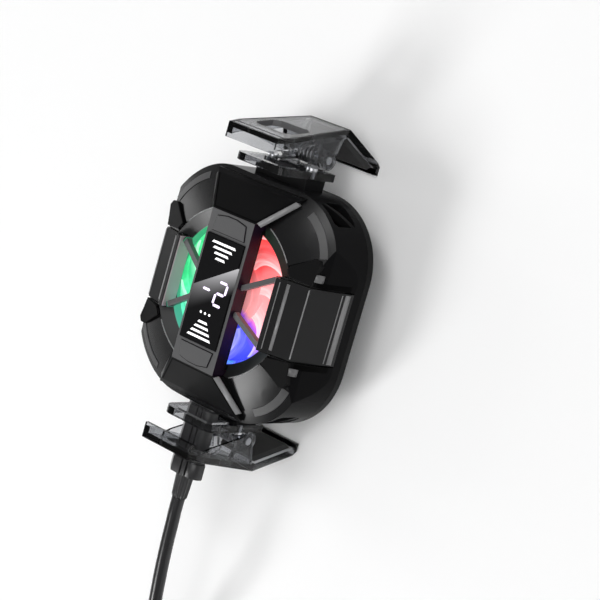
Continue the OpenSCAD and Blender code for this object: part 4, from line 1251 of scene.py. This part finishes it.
def area_light(name, at, size, power):
    data = bpy.data.lights.new(name, "AREA")
    data.shape = "RECTANGLE"
    data.size, data.size_y = size
    data.energy = power
    obj = bpy.data.objects.new(name, data)
    obj.location = Vector(at)
    obj.rotation_mode = "QUATERNION"
    obj.rotation_quaternion = (LIGHT_AIM - Vector(at)).to_track_quat("-Z", "Y")
    bpy.context.scene.collection.objects.link(obj)


def make_stage():
    """A pale floor, with a little glow far out so that it stays pale to the horizon."""
    size, near, far, far_glow = 6.0, 0.5, 2.0, 0.75
    darker, paler, haze_scale = (0.91, 0.91, 0.91, 1), (0.94, 0.94, 0.94, 1), 3.0
    mesh = bpy.data.meshes.new("floor")
    corners = [(x, y, 0) for x, y in rectangle(-size, size, -size, size)]
    mesh.from_pydata(corners, [], [(0, 1, 2, 3)])
    floor = bpy.data.objects.new("floor", mesh)
    bpy.context.scene.collection.objects.link(floor)
    mat, tree = shader("floor_pale")
    where = own_space(tree)
    reach = add(tree, "VectorMath", {0: where}, "Value", operation="LENGTH")
    dress(tree, {"Base Color": blend_colour(tree, noise(tree, where, haze_scale), darker, paler),
                 "Emission Color": WHITE, "Emission Strength": span(tree, reach, near, far, 0.0, far_glow),
                 "Roughness": 0.9})
    mesh.materials.append(mat)


def make_world():
    """A studio that is pale at the horizon and dim overhead, where the softboxes hang."""
    high, horizon_light, overhead_light = 0.3, 0.9, 0.25
    world = bpy.data.worlds.new("studio")
    bpy.context.scene.world = world
    world.use_nodes = True
    tree = world.node_tree
    up = axes_of(tree, add(tree, "TexCoord", out="Generated"))[2]
    back = tree.nodes["Background"]
    plug(tree, back.inputs["Color"], WHITE)
    plug(tree, back.inputs["Strength"], span(tree, up, 0.0, high, horizon_light, overhead_light))


make_camera()
dress_nodes()
plug_pieces = [NODES["plug_tip"], make_plug_grip(), make_relief()]
far_pieces = [make_usb_grip(), make_usb_shell(), *make_usb_tongue(), make_tie()]
make_cable()
make_panel_strips()
make_panel_lines()
make_edge_bands()
make_rib_ends()
make_rim_beads()
make_wing_strips()
make_wing_ends()
make_wing_beads()
make_bar_lines()
make_rotor()
for clip in CLIPS:
    make_spring(*clip)
for clip in CLIPS:
    make_cheeks(*clip)
for clip in CLIPS:
    make_lever_lines(*clip)
    make_hole_liner(*clip)
make_screws()
make_digits()
make_prints()
make_stage()
make_world()
area_light("key_softbox", (-0.31, -0.64, 0.70), (0.26, 0.42), 4.6)
area_light("back_softbox", (0.10, 0.55, 0.89), (0.45, 0.2), 2.5)
area_light("left_softbox", (-0.92, 0.05, 0.40), (0.25, 0.6), 1.5)
area_light("fill_softbox", (0.50, 0.11, 0.99), (0.7, 0.7), 4.0)

bpy.context.scene.view_settings.view_transform = "Standard"
